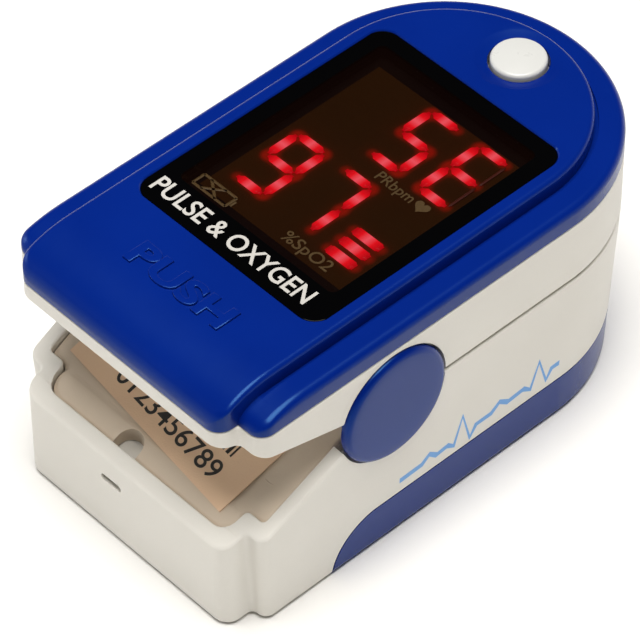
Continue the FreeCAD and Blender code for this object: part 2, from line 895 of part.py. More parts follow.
def processor_chip():
    return chip(-5.0, 10.6, 7.0, 6.6, 1.0)


def amplifier_chip():
    return chip(4.6, 10.6, 5.0, 4.0, 0.9)


def board_components():
    parts = []
    for i in range(4):
        parts.append(chip(8.6, 8.6 + 1.4 * i, 1.4, 0.8, 0.5))
    for x in (-5.5, 5.5):
        parts.append(chip(x, 49.0, 2.4, 1.6, 0.9))
        parts.append(chip(x, 53.0, 1.4, 0.8, 0.5))
    return parts


def tact_switch():
    body = box(-switch_half, switch_half, back(button_back) - switch_half,
               back(button_back) + switch_half, board_top, board_top + switch_thick)
    return body.cut(rod_z(plunger_radius + 0.1, 0, back(button_back), board_top + 0.2, FAR))


def plunger_top():
    return plateau_z - roof - 0.5 - 0.55


def switch_plunger():
    low = board_top + 0.2 + button_travel + 0.1
    return rod_z(plunger_radius, 0, back(button_back), low, plunger_top())


def power_button():
    y = back(button_back)
    low = plunger_top()
    flange = rod_z(flange_radius, 0, y, low, plateau_z - roof - 0.5)
    stem = rod_z(button_radius, 0, y, low, button_top)
    radius = (button_radius ** 2 + button_dome ** 2) / (2 * button_dome)
    dome = Part.makeSphere(radius, Vector(0, y, button_top - radius))
    return fuse([flange, stem.common(dome)])


def emitter_led():
    y = back(sensor_back)
    return box(-1.8, 1.8, y - 1.5, y + 1.5, trough_high + 0.2, board_z)


def emitter_lens():
    """Clear window under the emitter, flush with the upper pad."""
    return rod_z(lens_radius, 0, back(sensor_back), channel_high, trough_high + 0.2)


# ---- write every piece to its own file ----

def export(name, shapes):
    if not isinstance(shapes, list):
        shapes = [shapes]
    solids = []
    for shape in shapes:
        solids += shape.Solids
    result = solids[0] if len(solids) == 1 else Part.makeCompound(solids)
    result.exportStep("parts/" + name + ".step")
    print(name, len(solids), round(sum(solid.Volume for solid in solids), 2),
          all(solid.isValid() for solid in solids))


cap_right, cap_left = both_sides(hinge_cap)
spring_front_y = back(bay_front + contact_thick)
spring_rear_y = back(bay_back - contact_thick)

pieces = {
    "lower_body": lower_body(),
    "inner_panel": inner_panel(),
    "panel_label": panel_label(),
    "panel_screws": panel_screws(),
    "battery_left": battery(-cell_x, True),
    "battery_right": battery(cell_x, False),
    "front_contacts": front_contacts(),
    "rear_contact": rear_contact(),
    "front_contact_spring": contact_spring(cell_x, spring_front_y, spring_front_y + spring_length),
    "rear_contact_spring": contact_spring(-cell_x, spring_rear_y - spring_length, spring_rear_y),
    "sensor_board": sensor_board(),
    "photodiode": photodiode(),
    "sensor_lens": sensor_lens(),
    "lower_finger_pad": lower_pad(),
    "hinge_pin": hinge_pin(),
    "hinge_cap_right": cap_right,
    "hinge_cap_left": cap_left,
    "torsion_spring": torsion_spring(),
    "power_connector": power_connector(),
    "flex_ribbon": flex_ribbon(),
    "battery_cover": battery_cover(),
    "upper_shell": upper_shell(),
    "case_screws": case_screws(),
    "top_cover": top_cover(),
    "display_window": display_window(),
    "main_board": main_board(),
    "display_module": display_module(),
    "display_segments": display_segments(),
    "processor_chip": processor_chip(),
    "amplifier_chip": amplifier_chip(),
    "board_components": board_components(),
    "tact_switch": tact_switch(),
    "switch_plunger": switch_plunger(),
    "power_button": power_button(),
    "emitter_led": emitter_led(),
    "emitter_lens": emitter_lens(),
    "upper_finger_pad": upper_pad(),
}
for name, shapes in pieces.items():
    export(name, shapes)
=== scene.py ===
# %% [markdown]
# # A fingertip pulse oximeter
# The object is a small spring clip. A blue and white upper jaw carries a red
# segment display behind a smoked window. A white lower jaw holds two cells
# above a sliding blue cover. Every size below is worked out from the CAD
# frame, in millimetres, and turned to metres when a mesh is made.

import json
import math

import bmesh
import bpy
from mathutils import Matrix, Vector


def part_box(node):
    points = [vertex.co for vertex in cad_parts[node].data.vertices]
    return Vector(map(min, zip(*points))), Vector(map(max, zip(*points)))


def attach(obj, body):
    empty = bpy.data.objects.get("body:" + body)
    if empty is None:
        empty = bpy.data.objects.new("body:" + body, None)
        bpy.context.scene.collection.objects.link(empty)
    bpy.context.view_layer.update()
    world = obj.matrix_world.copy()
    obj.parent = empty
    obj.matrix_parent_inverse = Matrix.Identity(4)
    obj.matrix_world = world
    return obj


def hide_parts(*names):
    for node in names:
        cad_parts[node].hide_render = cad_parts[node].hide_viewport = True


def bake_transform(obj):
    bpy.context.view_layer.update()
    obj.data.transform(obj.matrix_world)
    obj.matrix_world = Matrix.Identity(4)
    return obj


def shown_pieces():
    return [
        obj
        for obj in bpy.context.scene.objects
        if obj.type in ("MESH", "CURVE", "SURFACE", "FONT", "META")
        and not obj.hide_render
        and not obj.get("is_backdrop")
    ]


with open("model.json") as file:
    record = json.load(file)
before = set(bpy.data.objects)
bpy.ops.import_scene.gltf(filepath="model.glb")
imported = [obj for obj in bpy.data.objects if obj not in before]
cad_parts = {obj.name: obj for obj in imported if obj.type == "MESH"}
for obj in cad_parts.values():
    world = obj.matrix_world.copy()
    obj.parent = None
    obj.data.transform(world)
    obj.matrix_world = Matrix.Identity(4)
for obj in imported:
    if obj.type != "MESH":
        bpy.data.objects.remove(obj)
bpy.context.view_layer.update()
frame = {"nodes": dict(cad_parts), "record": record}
MM = 0.001

# %% [markdown]
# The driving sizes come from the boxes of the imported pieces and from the
# hinge joint, so the visual pieces follow the CAD model if it changes. The
# rest are the moulding's own: its walls, corners and steps.

# %% Sizes from the frame


def low(node):
    """Lowest corner of a CAD piece in millimetres."""
    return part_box(node)[0] / MM


def high(node):
    """Highest corner of a CAD piece in millimetres."""
    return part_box(node)[1] / MM


joints = {joint["name"]: joint for joint in frame["record"]["behaviour"]["joints"]}
hinge = Vector(joints["jaw_hinge"]["pos_m"]) / MM
y_nose = low("top_cover").y
y_tail = high("top_cover").y
half_width = high("top_cover").x
y_arc = y_tail - half_width
plateau_z = high("top_cover").z
parting_z = high("upper_shell").z
nose_half = 14.4
lower_nose_half = 14.8
step_depth = 2.5
nose_corner = 1.8
notch_corner = 0.6
floor_inset = 0.9
wall = 1.6
button_y = y_nose + 53.3
cover_top = high("battery_cover").z
print("half width", half_width, "parting", parting_z, "plateau", plateau_z)


def back(distance):
    """Y of a point this far behind the push end."""
    return y_nose + distance


# %% [markdown]
# ## Camera
# The view is from in front, to the right and well above, through a long
# lens, so that the far end hardly shrinks. The camera's place is worked out
# from two angles, a roll and a distance, which are easier to change by hand
# than a matrix.

# %% Camera
camera_azimuth = 47.134
camera_elevation = 46.392
camera_roll = -0.34
camera_distance = 434.702
camera_target = Vector((0.205, y_nose + 26.082, 14.0))
camera_lens = 247.5


def set_down(name, data):
    """An object for this data, in the scene."""
    piece = bpy.data.objects.new(name, data)
    bpy.context.scene.collection.objects.link(piece)
    return piece


def make_camera():
    azimuth = math.radians(camera_azimuth)
    elevation = math.radians(camera_elevation)
    roll = math.radians(camera_roll)
    away = Vector((
        math.sin(azimuth) * math.cos(elevation),
        -math.cos(azimuth) * math.cos(elevation),
        math.sin(elevation),
    ))
    right = (-away).cross(Vector((0, 0, 1))).normalized()
    up = right.cross(-away)
    turned = right * math.cos(roll) + up * math.sin(roll)
    upright = up * math.cos(roll) - right * math.sin(roll)
    data = bpy.data.cameras.new("camera")
    data.sensor_width = 36.0
    data.lens = camera_lens
    data.clip_start = 0.01
    data.clip_end = 10.0
    camera = set_down("camera", data)
    place = Matrix((turned, upright, away)).transposed().to_4x4()
    place.translation = (camera_target + away * camera_distance) * MM
    camera.matrix_world = place
    bpy.context.scene.camera = camera
    print("camera at", [round(v, 3) for v in place.translation])


make_camera()

# %% [markdown]
# ## Mesh helpers
# Most shells here are walls that follow one plan outline at many heights.
# An extruded outline with a bevel could give them, but stacking rings of the
# same number of points gives clean quads, lets the walls taper and slope, and
# makes a fillet only a few more rings on a quarter circle.

# %% Mesh helpers
nose_steps = 16  # spans across the push end of every outline
broad_face = 12.0  # square millimetres, above which a many-sided face is shaded flat
y_hinge = hinge.y


def new_piece(name, vertices, faces):
    """A mesh object from points in millimetres."""
    mesh = bpy.data.meshes.new(name)
    mesh.from_pydata([Vector(v) * MM for v in vertices], [], faces)
    mesh.update()
    return set_down(name, mesh)


def made_mesh(piece):
    """Plain mesh of a piece, with what its modifiers or bevel make of it."""
    graph = bpy.context.evaluated_depsgraph_get()
    return bpy.data.meshes.new_from_object(piece.evaluated_get(graph))


def clean(piece, angle=32.0, merge=0.002):
    """Merge doubles, turn faces outwards and shade smooth across soft edges."""
    bm = bmesh.new()
    bm.from_mesh(piece.data)
    bmesh.ops.remove_doubles(bm, verts=bm.verts, dist=merge * MM)
    bmesh.ops.dissolve_degenerate(bm, edges=bm.edges, dist=merge * MM)
    bmesh.ops.recalc_face_normals(bm, faces=bm.faces)
    for face in bm.faces:
        broad = len(face.verts) > 4 and face.calc_area() > broad_face * MM * MM
        face.smooth = not broad
    limit = math.radians(angle)
    for edge in bm.edges:
        edge.smooth = edge.is_manifold and edge.calc_face_angle(0.0) < limit
    bm.to_mesh(piece.data)
    bm.free()
    return piece


# %% [markdown]
# The ends of a stack could each be one face with many corners. Rows of quads
# across the object keep the shading even where an end is not flat, and the
# mirrored halves of an outline always give points that face each other.

# %% Stacks of rings


def row_cap(first, count):
    """Faces that close a ring across the object, one quad for each pair of side points."""
    chain = (count - nose_steps + 1) // 2 + 1
    right = [first + nose_steps + i for i in range(chain)]
    left = [first] + [first + nose_steps + chain + chain - 2 - i for i in range(1, chain - 1)]
    faces = [tuple(range(first, first + nose_steps + 2)) + (left[1],)]
    for i in range(1, chain - 2):
        faces.append((right[i], right[i + 1], left[i + 1], left[i]))
    faces.append((right[chain - 2], right[chain - 1], left[chain - 2]))
    return faces


def ring_stack(name, rings, rows=False):
    """Closed solid through a list of rings, each a loop of points."""
    vertices = [point for ring in rings for point in ring]
    count = len(rings[0])
    faces = []
    for k in range(len(rings) - 1):
        for i in range(count):
            j = (i + 1) % count
            a, b = k * count, (k + 1) * count
            faces.append((a + i, a + j, b + j, b + i))
    last = (len(rings) - 1) * count
    if rows:
        faces += [tuple(reversed(face)) for face in row_cap(0, count)] + row_cap(last, count)
    else:
        faces.append(tuple(reversed(range(count))))
        faces.append(tuple(range(last, last + count)))
    return new_piece(name, vertices, faces)


def quarter(cx, cy, radius, start, end, steps):
    """Points on an arc, without its last one."""
    points = []
    for i in range(steps):
        turn = math.radians(start + (end - start) * i / steps)
        points.append((cx + radius * math.cos(turn), cy + radius * math.sin(turn)))
    return points


def straight(a, b, steps):
    """Points from a towards b, without b."""
    return [(a[0] + (b[0] - a[0]) * i / steps, a[1] + (b[1] - a[1]) * i / steps) for i in range(steps)]


def close_loop(right):
    """Whole loop from the chain of points on the right of the middle."""
    front = straight((-right[0][0], right[0][1]), right[0], nose_steps)
    left = [(-x, y) for x, y in reversed(right[:-1])]
    return front + right + left[:-1]


# %% [markdown]
# Two outlines shape the whole object. The jaws have a narrow push end with a
# notch on each side, and the steps of the blue cover are plainer D shapes.
# An outline keeps its number of points at any inset, so its rings can stack.

# %% Outlines
tight_nose_corner, tight_shoulder = 1.7, 0.5


def plan_ring(inset, nose=nose_half, shoulder=1.6, draft=0.0, tight=False):
    """Outline of a jaw, moved in by inset. The draft moves only the sides and the tail.

    A tight outline keeps round corners at the nose and a small inner corner in the notch.
    """
    hw = half_width - inset - draft
    nh = nose - inset
    y0 = y_nose + inset
    ys = y_nose + step_depth + inset + draft
    rn = max(nose_corner - inset, 0.2)
    rs = max(shoulder - inset, 0.2)
    if tight:
        rn, rs = tight_nose_corner, tight_shoulder
    rv = min(notch_corner + (0.0 if tight else inset), step_depth + draft - rn - 0.05, hw - nh - rs - 0.05)
    right = quarter(nh - rn, y0 + rn, rn, -90, 0, 6)
    right += straight((nh, y0 + rn), (nh, ys - rv), 2)
    right += quarter(nh + rv, ys - rv, rv, 180, 90, 5)
    right += straight((nh + rv, ys), (hw - rs, ys), 2)
    right += quarter(hw - rs, ys + rs, rs, -90, 0, 6)
    right += straight((hw, ys + rs), (hw, y_hinge), 14)
    right += straight((hw, y_hinge), (hw, y_arc), 14)
    right += quarter(0, y_arc, hw, 0, 90, 36)
    right.append((0, y_arc + hw))
    return close_loop(right)


def d_ring(half, front, corner, inset, near=8.0):
    """Outline with a square front, rounded corners and a half round tail."""
    hw = half - inset
    y0 = front + inset
    r = max(corner - inset, 0.15)
    right = quarter(hw - r, y0 + r, r, -90, 0, 8)
    right += straight((hw, y0 + r), (hw, front + near), 22)
    right += straight((hw, front + near), (hw, y_arc), 16)
    right += quarter(0, y_arc, hw, 0, 90, 40)
    right.append((0, y_arc + hw))
    return close_loop(right)


def at_height(ring, z):
    """Lift a plan ring to a height that may depend on the place."""
    if callable(z):
        return [(x, y, z(x, y)) for x, y in ring]
    return [(x, y, z) for x, y in ring]


print("points in an outline", len(plan_ring(0)), len(d_ring(nose_half, y_nose, nose_corner, 0)))

# %% [markdown]
# Openings are cut with exact booleans, which leave crisp edges and closed
# meshes. The tools are boxes, rods, turned shapes and pushed outlines.

# %% Booleans and simple solids


def boolean(piece, tool, how="DIFFERENCE"):
    """Cut, join or intersect two closed solids, and leave a plain mesh."""
    modifier = piece.modifiers.new("cut", "BOOLEAN")
    modifier.operation = how
    modifier.solver = "EXACT"
    modifier.object = tool
    mesh = made_mesh(piece)
    piece.modifiers.remove(modifier)
    old = piece.data
    piece.data = mesh
    mesh.name = piece.name
    bpy.data.meshes.remove(old)
    bpy.data.objects.remove(tool)
    return piece


def block(x0, x1, y0, y1, z0, z1, name="tool"):
    """Box between two values on each axis."""
    vertices = [(x, y, z) for z in (z0, z1) for y in (y0, y1) for x in (x0, x1)]
    faces = [(0, 2, 3, 1), (4, 5, 7, 6), (0, 1, 5, 4), (2, 6, 7, 3), (0, 4, 6, 2), (1, 3, 7, 5)]
    return new_piece(name, vertices, faces)


def side_prism(points, x0, x1, name="tool"):
    """Outline of (y, z) points pushed out along X."""
    rings = [[(x, y, z) for y, z in points] for x in (x0, x1)]
    return clean(ring_stack(name, rings))


def lathe(profile, steps, axis, centre, name="tool"):
    """Solid of revolution from (radius, height) points, about an axis through centre."""
    along = Vector(axis)
    across = Vector((0, 0, 1)) if abs(along.z) < 0.5 else Vector((1, 0, 0))
    other = along.cross(across)
    rings = []
    for radius, height in profile:
        ring = []
        for i in range(steps):
            turn = 2 * math.pi * i / steps
            out = across * math.cos(turn) + other * math.sin(turn)
            ring.append(Vector(centre) + along * height + out * max(radius, 0.0005))
        rings.append(ring)
    return clean(ring_stack(name, rings))


def rod(radius, start, end, steps=48, name="tool"):
    """Round bar between two points."""
    start, end = Vector(start), Vector(end)
    run = end - start
    return lathe([(radius, 0), (radius, run.length)], steps, run.normalized(), start, name)


def fillet(radius, steps, z_sign, z_edge, inset=0.0):
    """Insets and heights round an edge: up and in for +1, down and in for -1."""
    places = []
    for i in range(steps + 1):
        turn = math.pi / 2 * i / steps
        z = z_edge - z_sign * radius * (1 - math.sin(turn))
        places.append((inset + radius * (1 - math.cos(turn)), z))
    return places


def rounded_box_rings(half_x, y0, y1, radius, steps=8):
    """Plan of a rectangle with round corners, centred on X."""
    points = quarter(half_x - radius, y0 + radius, radius, -90, 0, steps)
    points += quarter(half_x - radius, y1 - radius, radius, 0, 90, steps)
    points += quarter(-half_x + radius, y1 - radius, radius, 90, 180, steps)
    points += quarter(-half_x + radius, y0 + radius, radius, 180, 270, steps)
    return points


def finger_prism(half, low_z, high_z, radius, y0, y1, name="tool"):
    """Rounded rectangle across the finger, pushed out along Y."""
    loop = []
    middle = (low_z + high_z) / 2
    tall = (high_z - low_z) / 2
    for cx, cz, start in ((1, 1, 0), (-1, 1, 90), (-1, -1, 180), (1, -1, 270)):
        for i in range(13):
            turn = math.radians(start + 90 * i / 12)
            x = cx * (half - radius) + radius * math.cos(turn)
            z = middle + cz * (tall - radius) + radius * math.sin(turn)
            loop.append((x, z))
    rings = [[(x, y, z) for x, z in loop] for y in (y0, y1)]
    return clean(ring_stack(name, rings))


# %% [markdown]
# ## Materials
# Every finish is made of noise on the object's own coordinates: a slow
# change of tone, a fine change of gloss, and a very fine grain in the bump,
# as spark eroded moulds leave on plastic. A picture could hold the same
# marks, but noise needs no unwrapping and shows no seam.

# %% Materials


def node(tree, kind, **values):
    """New node with these values on its inputs."""
    made = tree.nodes.new(kind)
    for name, value in values.items():
        made.inputs[name.replace("_", " ")].default_value = value
    return made


def finish(name, dark, light, rough=(0.3, 0.4), grain=4000.0, bump=0.04, tone_scale=60.0, **shader):
    """A moulded or metal finish with tone, gloss and grain from noise."""
    made = bpy.data.materials.new(name)
    made.use_nodes = True
    tree = made.node_tree
    surface = tree.nodes["Principled BSDF"]
    place = tree.nodes.new("ShaderNodeTexCoord")
    tone = node(tree, "ShaderNodeTexNoise", Scale=tone_scale, Detail=4.0)
    tree.links.new(place.outputs["Object"], tone.inputs["Vector"])
    ramp = tree.nodes.new("ShaderNodeValToRGB")
    ramp.color_ramp.elements[0].position = 0.3
    ramp.color_ramp.elements[1].position = 0.7
    ramp.color_ramp.elements[0].color = (*dark, 1)
    ramp.color_ramp.elements[1].color = (*light, 1)
    tree.links.new(tone.outputs["Fac"], ramp.inputs["Fac"])
    tree.links.new(ramp.outputs["Color"], surface.inputs["Base Color"])
    gloss = node(tree, "ShaderNodeTexNoise", Scale=tone_scale * 9, Detail=6.0)
    tree.links.new(place.outputs["Object"], gloss.inputs["Vector"])
    spread = node(tree, "ShaderNodeMapRange", To_Min=rough[0], To_Max=rough[1])
    tree.links.new(gloss.outputs["Fac"], spread.inputs["Value"])
    tree.links.new(spread.outputs["Result"], surface.inputs["Roughness"])
    fine = node(tree, "ShaderNodeTexNoise", Scale=grain, Detail=3.0)
    tree.links.new(place.outputs["Object"], fine.inputs["Vector"])
    relief = node(tree, "ShaderNodeBump", Strength=bump, Distance=0.0002)
    tree.links.new(fine.outputs["Fac"], relief.inputs["Height"])
    tree.links.new(relief.outputs["Normal"], surface.inputs["Normal"])
    for key, value in shader.items():
        surface.inputs[key.replace("_", " ")].default_value = value
    return made


# %% [markdown]
# Each finish runs between two near tones. The shells are moulded plastic, the
# pads are silicone, and the metal parts differ mostly in their gloss. Prints
# are thin pieces of their own, so each ink is a finish too.

# %% Finishes
blue = finish("moulded blue", (0.0005, 0.011, 0.148), (0.0008, 0.0135, 0.17), rough=(0.24, 0.28),
              bump=0.02, Specular_IOR_Level=0.36, Specular_Tint=(0.2, 0.55, 1.0, 1.0))
white = finish("moulded warm white", (0.685, 0.66, 0.605), (0.715, 0.69, 0.635), rough=(0.4, 0.52), bump=0.06)
# The panel is cream plastic. Its finish is darker and warmer still, which is painted warm shade standing in
# for the shade under the upper jaw.
panel_white_painted_shade = finish("panel warm white", (0.64, 0.53, 0.41), (0.67, 0.56, 0.44), rough=(0.45, 0.55),
                     bump=0.06)
button_white = finish("button white", (0.51, 0.51, 0.49), (0.54, 0.54, 0.52), rough=(0.25, 0.32), bump=0.02)
silicone = finish("pad silicone", (0.42, 0.43, 0.45), (0.47, 0.48, 0.50), rough=(0.55, 0.7), bump=0.1)
steel = finish("bright steel", (0.55, 0.55, 0.57), (0.62, 0.62, 0.64), rough=(0.2, 0.35), Metallic=1.0)
spring_wire = finish("spring wire", (0.42, 0.42, 0.45), (0.5, 0.5, 0.53), rough=(0.25, 0.4), Metallic=1.0)
nickel = finish("contact nickel", (0.6, 0.58, 0.52), (0.68, 0.66, 0.6), rough=(0.18, 0.3), Metallic=1.0)
board_green = finish("solder mask", (0.01, 0.10, 0.04), (0.02, 0.14, 0.06), rough=(0.3, 0.4))
chip_black = finish("chip package", (0.012, 0.012, 0.014), (0.02, 0.02, 0.022), rough=(0.5, 0.65))
# The label paper is off white. Its tan tone here is painted warm shade from the upper jaw.
paper = finish("label paper", (0.80, 0.55, 0.36), (0.86, 0.61, 0.41), rough=(0.75, 0.9), bump=0.15,
               grain=6000.0)
ink_black = finish("black ink", (0.012, 0.010, 0.010), (0.02, 0.017, 0.015), rough=(0.5, 0.6))
ink_blue = finish("light blue ink", (0.10, 0.30, 0.66), (0.14, 0.36, 0.72), rough=(0.4, 0.5))
ink_white = finish("white ink", (0.44, 0.42, 0.39), (0.49, 0.47, 0.44), rough=(0.35, 0.45))
film = finish("polyimide film", (0.45, 0.20, 0.04), (0.55, 0.26, 0.06), rough=(0.3, 0.4))
connector = finish("connector plastic", (0.6, 0.58, 0.5), (0.68, 0.66, 0.58), rough=(0.45, 0.55))
jacket = finish("cell jacket", (0.03, 0.035, 0.045), (0.05, 0.055, 0.07), rough=(0.25, 0.35))
lens = finish("clear lens", (0.75, 0.77, 0.8), (0.8, 0.82, 0.85), rough=(0.05, 0.1), Transmission_Weight=0.6)
display_black = finish("display case", (0.002, 0.0012, 0.001), (0.004, 0.002, 0.0015), rough=(0.35, 0.5),
                       Specular_IOR_Level=0.06)
icon_tan = finish("unlit icon", (0.19, 0.115, 0.042), (0.23, 0.14, 0.052), rough=(0.4, 0.5))
dim_red = finish("unlit bar", (0.10, 0.012, 0.004), (0.13, 0.016, 0.006), rough=(0.4, 0.5))
print("materials", len(bpy.data.materials))

# %% [markdown]
# The lit bars are hottest along their middle, and their light spills on the
# display's face. Small lamps could do this, but a lamp is no part of the
# model, so the glow is emission whose colour follows a stored attribute.

# %% Lit finishes


def glowing(name, attribute, steps, strength, under=(0.002, 0.001, 0.001)):
    """Light whose colour follows an attribute of the piece through a ramp."""
    made = finish(name, under, under, rough=(0.35, 0.45))
    tree = made.node_tree
    surface = tree.nodes["Principled BSDF"]
    surface.inputs["Specular IOR Level"].default_value = 0.08
    value = tree.nodes.new("ShaderNodeAttribute")
    value.attribute_name = attribute
    ramp = tree.nodes.new("ShaderNodeValToRGB")
    ramp.color_ramp.elements[0].color = (*steps[0][1], 1)
    ramp.color_ramp.elements[0].position = steps[0][0]
    ramp.color_ramp.elements[1].color = (*steps[-1][1], 1)
    ramp.color_ramp.elements[1].position = steps[-1][0]
    for position, colour in steps[1:-1]:
        ramp.color_ramp.elements.new(position).color = (*colour, 1)
    tree.links.new(value.outputs["Fac"], ramp.inputs["Fac"])
    tree.links.new(ramp.outputs["Color"], surface.inputs["Emission Color"])
    surface.inputs["Emission Strength"].default_value = strength
    return made


bar_glow = [(0.0, (0.45, 0.0, 0.004)), (0.55, (0.9, 0.005, 0.013)), (1.0, (1.0, 0.10, 0.13))]
face_glow = [(0.0, (0.0, 0.0, 0.0)), (0.3, (0.02, 0.0, 0.0)), (1.0, (0.34, 0.0, 0.001))]
lit_red = glowing("lit segment", "along", bar_glow, 1.6)
glow_face = glowing("display face", "halo", face_glow, 1.0, under=(0.034, 0.0115, 0.0012))
window_finish = finish("smoked window", (0.004, 0.001, 0.001), (0.006, 0.002, 0.001), rough=(0.05, 0.09),
                       bump=0.0, Specular_IOR_Level=0.15, Alpha=0.3)
bezel_black = finish("bezel print", (0.0008, 0.0008, 0.0009), (0.001, 0.001, 0.0012), rough=(0.14, 0.18),
                     bump=0.0, Specular_IOR_Level=0.06)


print("materials", len(bpy.data.materials))

# %% [markdown]
# Each made piece rides on one rigid body and stands for the CAD piece whose
# shape it takes over.

# %% Handing a piece to the frame


def own(piece, material, body, slot, *nodes):
    """Finish, body and the CAD piece that this one stands for. The slot is not used."""
    piece.data.materials.clear()
    piece.data.materials.append(material)
    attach(piece, body)
    if nodes:
        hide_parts(*nodes)
    print(piece.name, "faces", len(piece.data.polygons))
    return piece


# %% [markdown]
# ## Lower jaw
# The lower case is a cup. Its wall tapers to the floor, its rim slopes up
# from the push end to the hinge, and behind the hinge it is level. The rings
# carry that slope, because each point's height follows from its place. The
# soft edges of the rim are rings on quarter circles, so light runs along
# them as it does on a moulded edge.

# %% Rules of the lower jaw
rim_z = 11.2
rim_slope = 0.48
lower_top = 19.5
trough_low = 13.0
trough_high = 25.0
trough_half = 10.9
trough_corner = 5.2
channel_stop = back(24.4)
lower_shoulder = 1.2
rim_edge = 0.32
panel_end = 15.1
panel_drop = 0.6
panel_thick = 1.4
panel_play = 0.1
screw_x, screw_back = 12.8, 9
bay_half = 10.9
bay_top = 12.15
ear_radius = 4.2
cap_side = 15.8
pocket_side, pocket_radius = 15.7, 6.85
far = 60.0


def rim_height(y):
    """The rim slopes up from the push end, then runs level."""
    return min(rim_z + rim_slope * (y - y_nose), lower_top)


taper_top = 19.6


def taper(z):
    """How far the lower jaw stands in at a height."""
    return floor_inset * (taper_top - z) / taper_top


def lower_plan(inset, draft, tight=False):
    return plan_ring(inset, lower_nose_half, lower_shoulder, draft, tight)


def lower_ring(inset, z):
    return at_height(lower_plan(inset, taper(z)), z)


def rim_ring(inset, drop, y_from=-far, y_to=far, flat=None, tight=False):
    """Ring a drop below the rim, or at a flat height, with its y kept in a range."""
    ring = []
    for (x, y), (ix, iy) in zip(lower_plan(inset, 0.0, tight), lower_plan(inset, 1.0, tight)):
        z = rim_height(y) + drop if flat is None else flat
        t = taper(z)
        ring.append((x + (ix - x) * t, min(max(y + (iy - y) * t, y_from), y_to), z))
    return ring


def outer_floor_rings():
    return [lower_ring(inset, z) for inset, z in reversed(fillet(0.8, 6, -1, 0.0))]


print("rim at the hinge", round(rim_height(y_hinge), 2), "points", len(rim_ring(0, 0)))

# %% [markdown]
# Both jaws give room to the finger pads and to the hinge caps, and both carry
# hinge ears. These shapes are made once, as closed solids, so the jaws agree
# at the hinge.

# %% Cutting tools shared by the jaws


def finger_tool():
    """The room for both pads, open at the tail."""
    return finger_prism(trough_half, trough_low, trough_high, trough_corner, channel_stop, y_tail + 2)


def cap_pockets(piece):
    """Round pockets in both sides for the hinge caps."""
    for side in (-1, 1):
        inner, outer = side * pocket_side, side * 20
        boolean(piece, rod(pocket_radius, (inner, y_hinge, hinge.z), (outer, y_hinge, hinge.z), 96))


def ear(x0, x1, z_plate):
    """A hinge ear: a disc on a plate, as one outline pushed along X."""
    up = 1 if z_plate > hinge.z else -1
    points = [(y_hinge - ear_radius * up, z_plate), (y_hinge + ear_radius * up, z_plate)]
    for i in range(33):
        turn = math.pi * i / 32
        z = hinge.z - ear_radius * math.sin(turn) * up
        points.append((y_hinge + ear_radius * math.cos(turn) * up, z))
    return side_prism(points, x0, x1)


def slot_tool(x, z, width, height, y0, y1):
    """Long hole with round ends, along Y."""
    loop = []
    run = width / 2 - height / 2
    for i in range(24):
        turn = 2 * math.pi * i / 24
        cx = run if math.cos(turn) >= 0 else -run
        loop.append((x + cx + height / 2 * math.cos(turn), z + height / 2 * math.sin(turn)))
    return clean(ring_stack("tool", [[(px, y, pz) for px, pz in loop] for y in (y0, y1)]))


def sweep_tool(play):
    """All that lies below and behind the sweeping front edge of the cell cover."""
    foot, top = back(12.4) - play, cover_top + play
    crest = back(17.7)
    ax, az, bx, bz, cx, cz = foot, 0.0, foot + 5.3 * 0.29, top * 0.66, crest, top
    d = 2 * (ax * (bz - cz) + bx * (cz - az) + cx * (az - bz))
    a2, b2, c2 = ax**2 + az**2, bx**2 + bz**2, cx**2 + cz**2
    ux = (a2 * (bz - cz) + b2 * (cz - az) + c2 * (az - bz)) / d
    uz = (a2 * (cx - bx) + b2 * (ax - cx) + c2 * (bx - ax)) / d
    radius = math.hypot(ax - ux, az - uz)
    first, last = math.atan2(az - uz, ax - ux), math.atan2(cz - uz, cx - ux)
    if first - last > math.pi:
        last += 2 * math.pi
    if last - first > math.pi:
        last -= 2 * math.pi
    points = [(foot, -1.0)]
    for i in range(25):
        turn = first + (last - first) * i / 24
        points.append((ux + radius * math.cos(turn), uz + radius * math.sin(turn)))
    points += [(far, top), (far, -1.0)]
    return side_prism(points, -far, far)


# %% [markdown]
# The cup is cut from above for the panel and the finger, from below for the
# cells and the sliding cover, and from the sides for the caps. The walls
# could be drawn by hand in one mesh, but a cut for each opening keeps every
# wall's thickness plain to read.

# %% Lower case


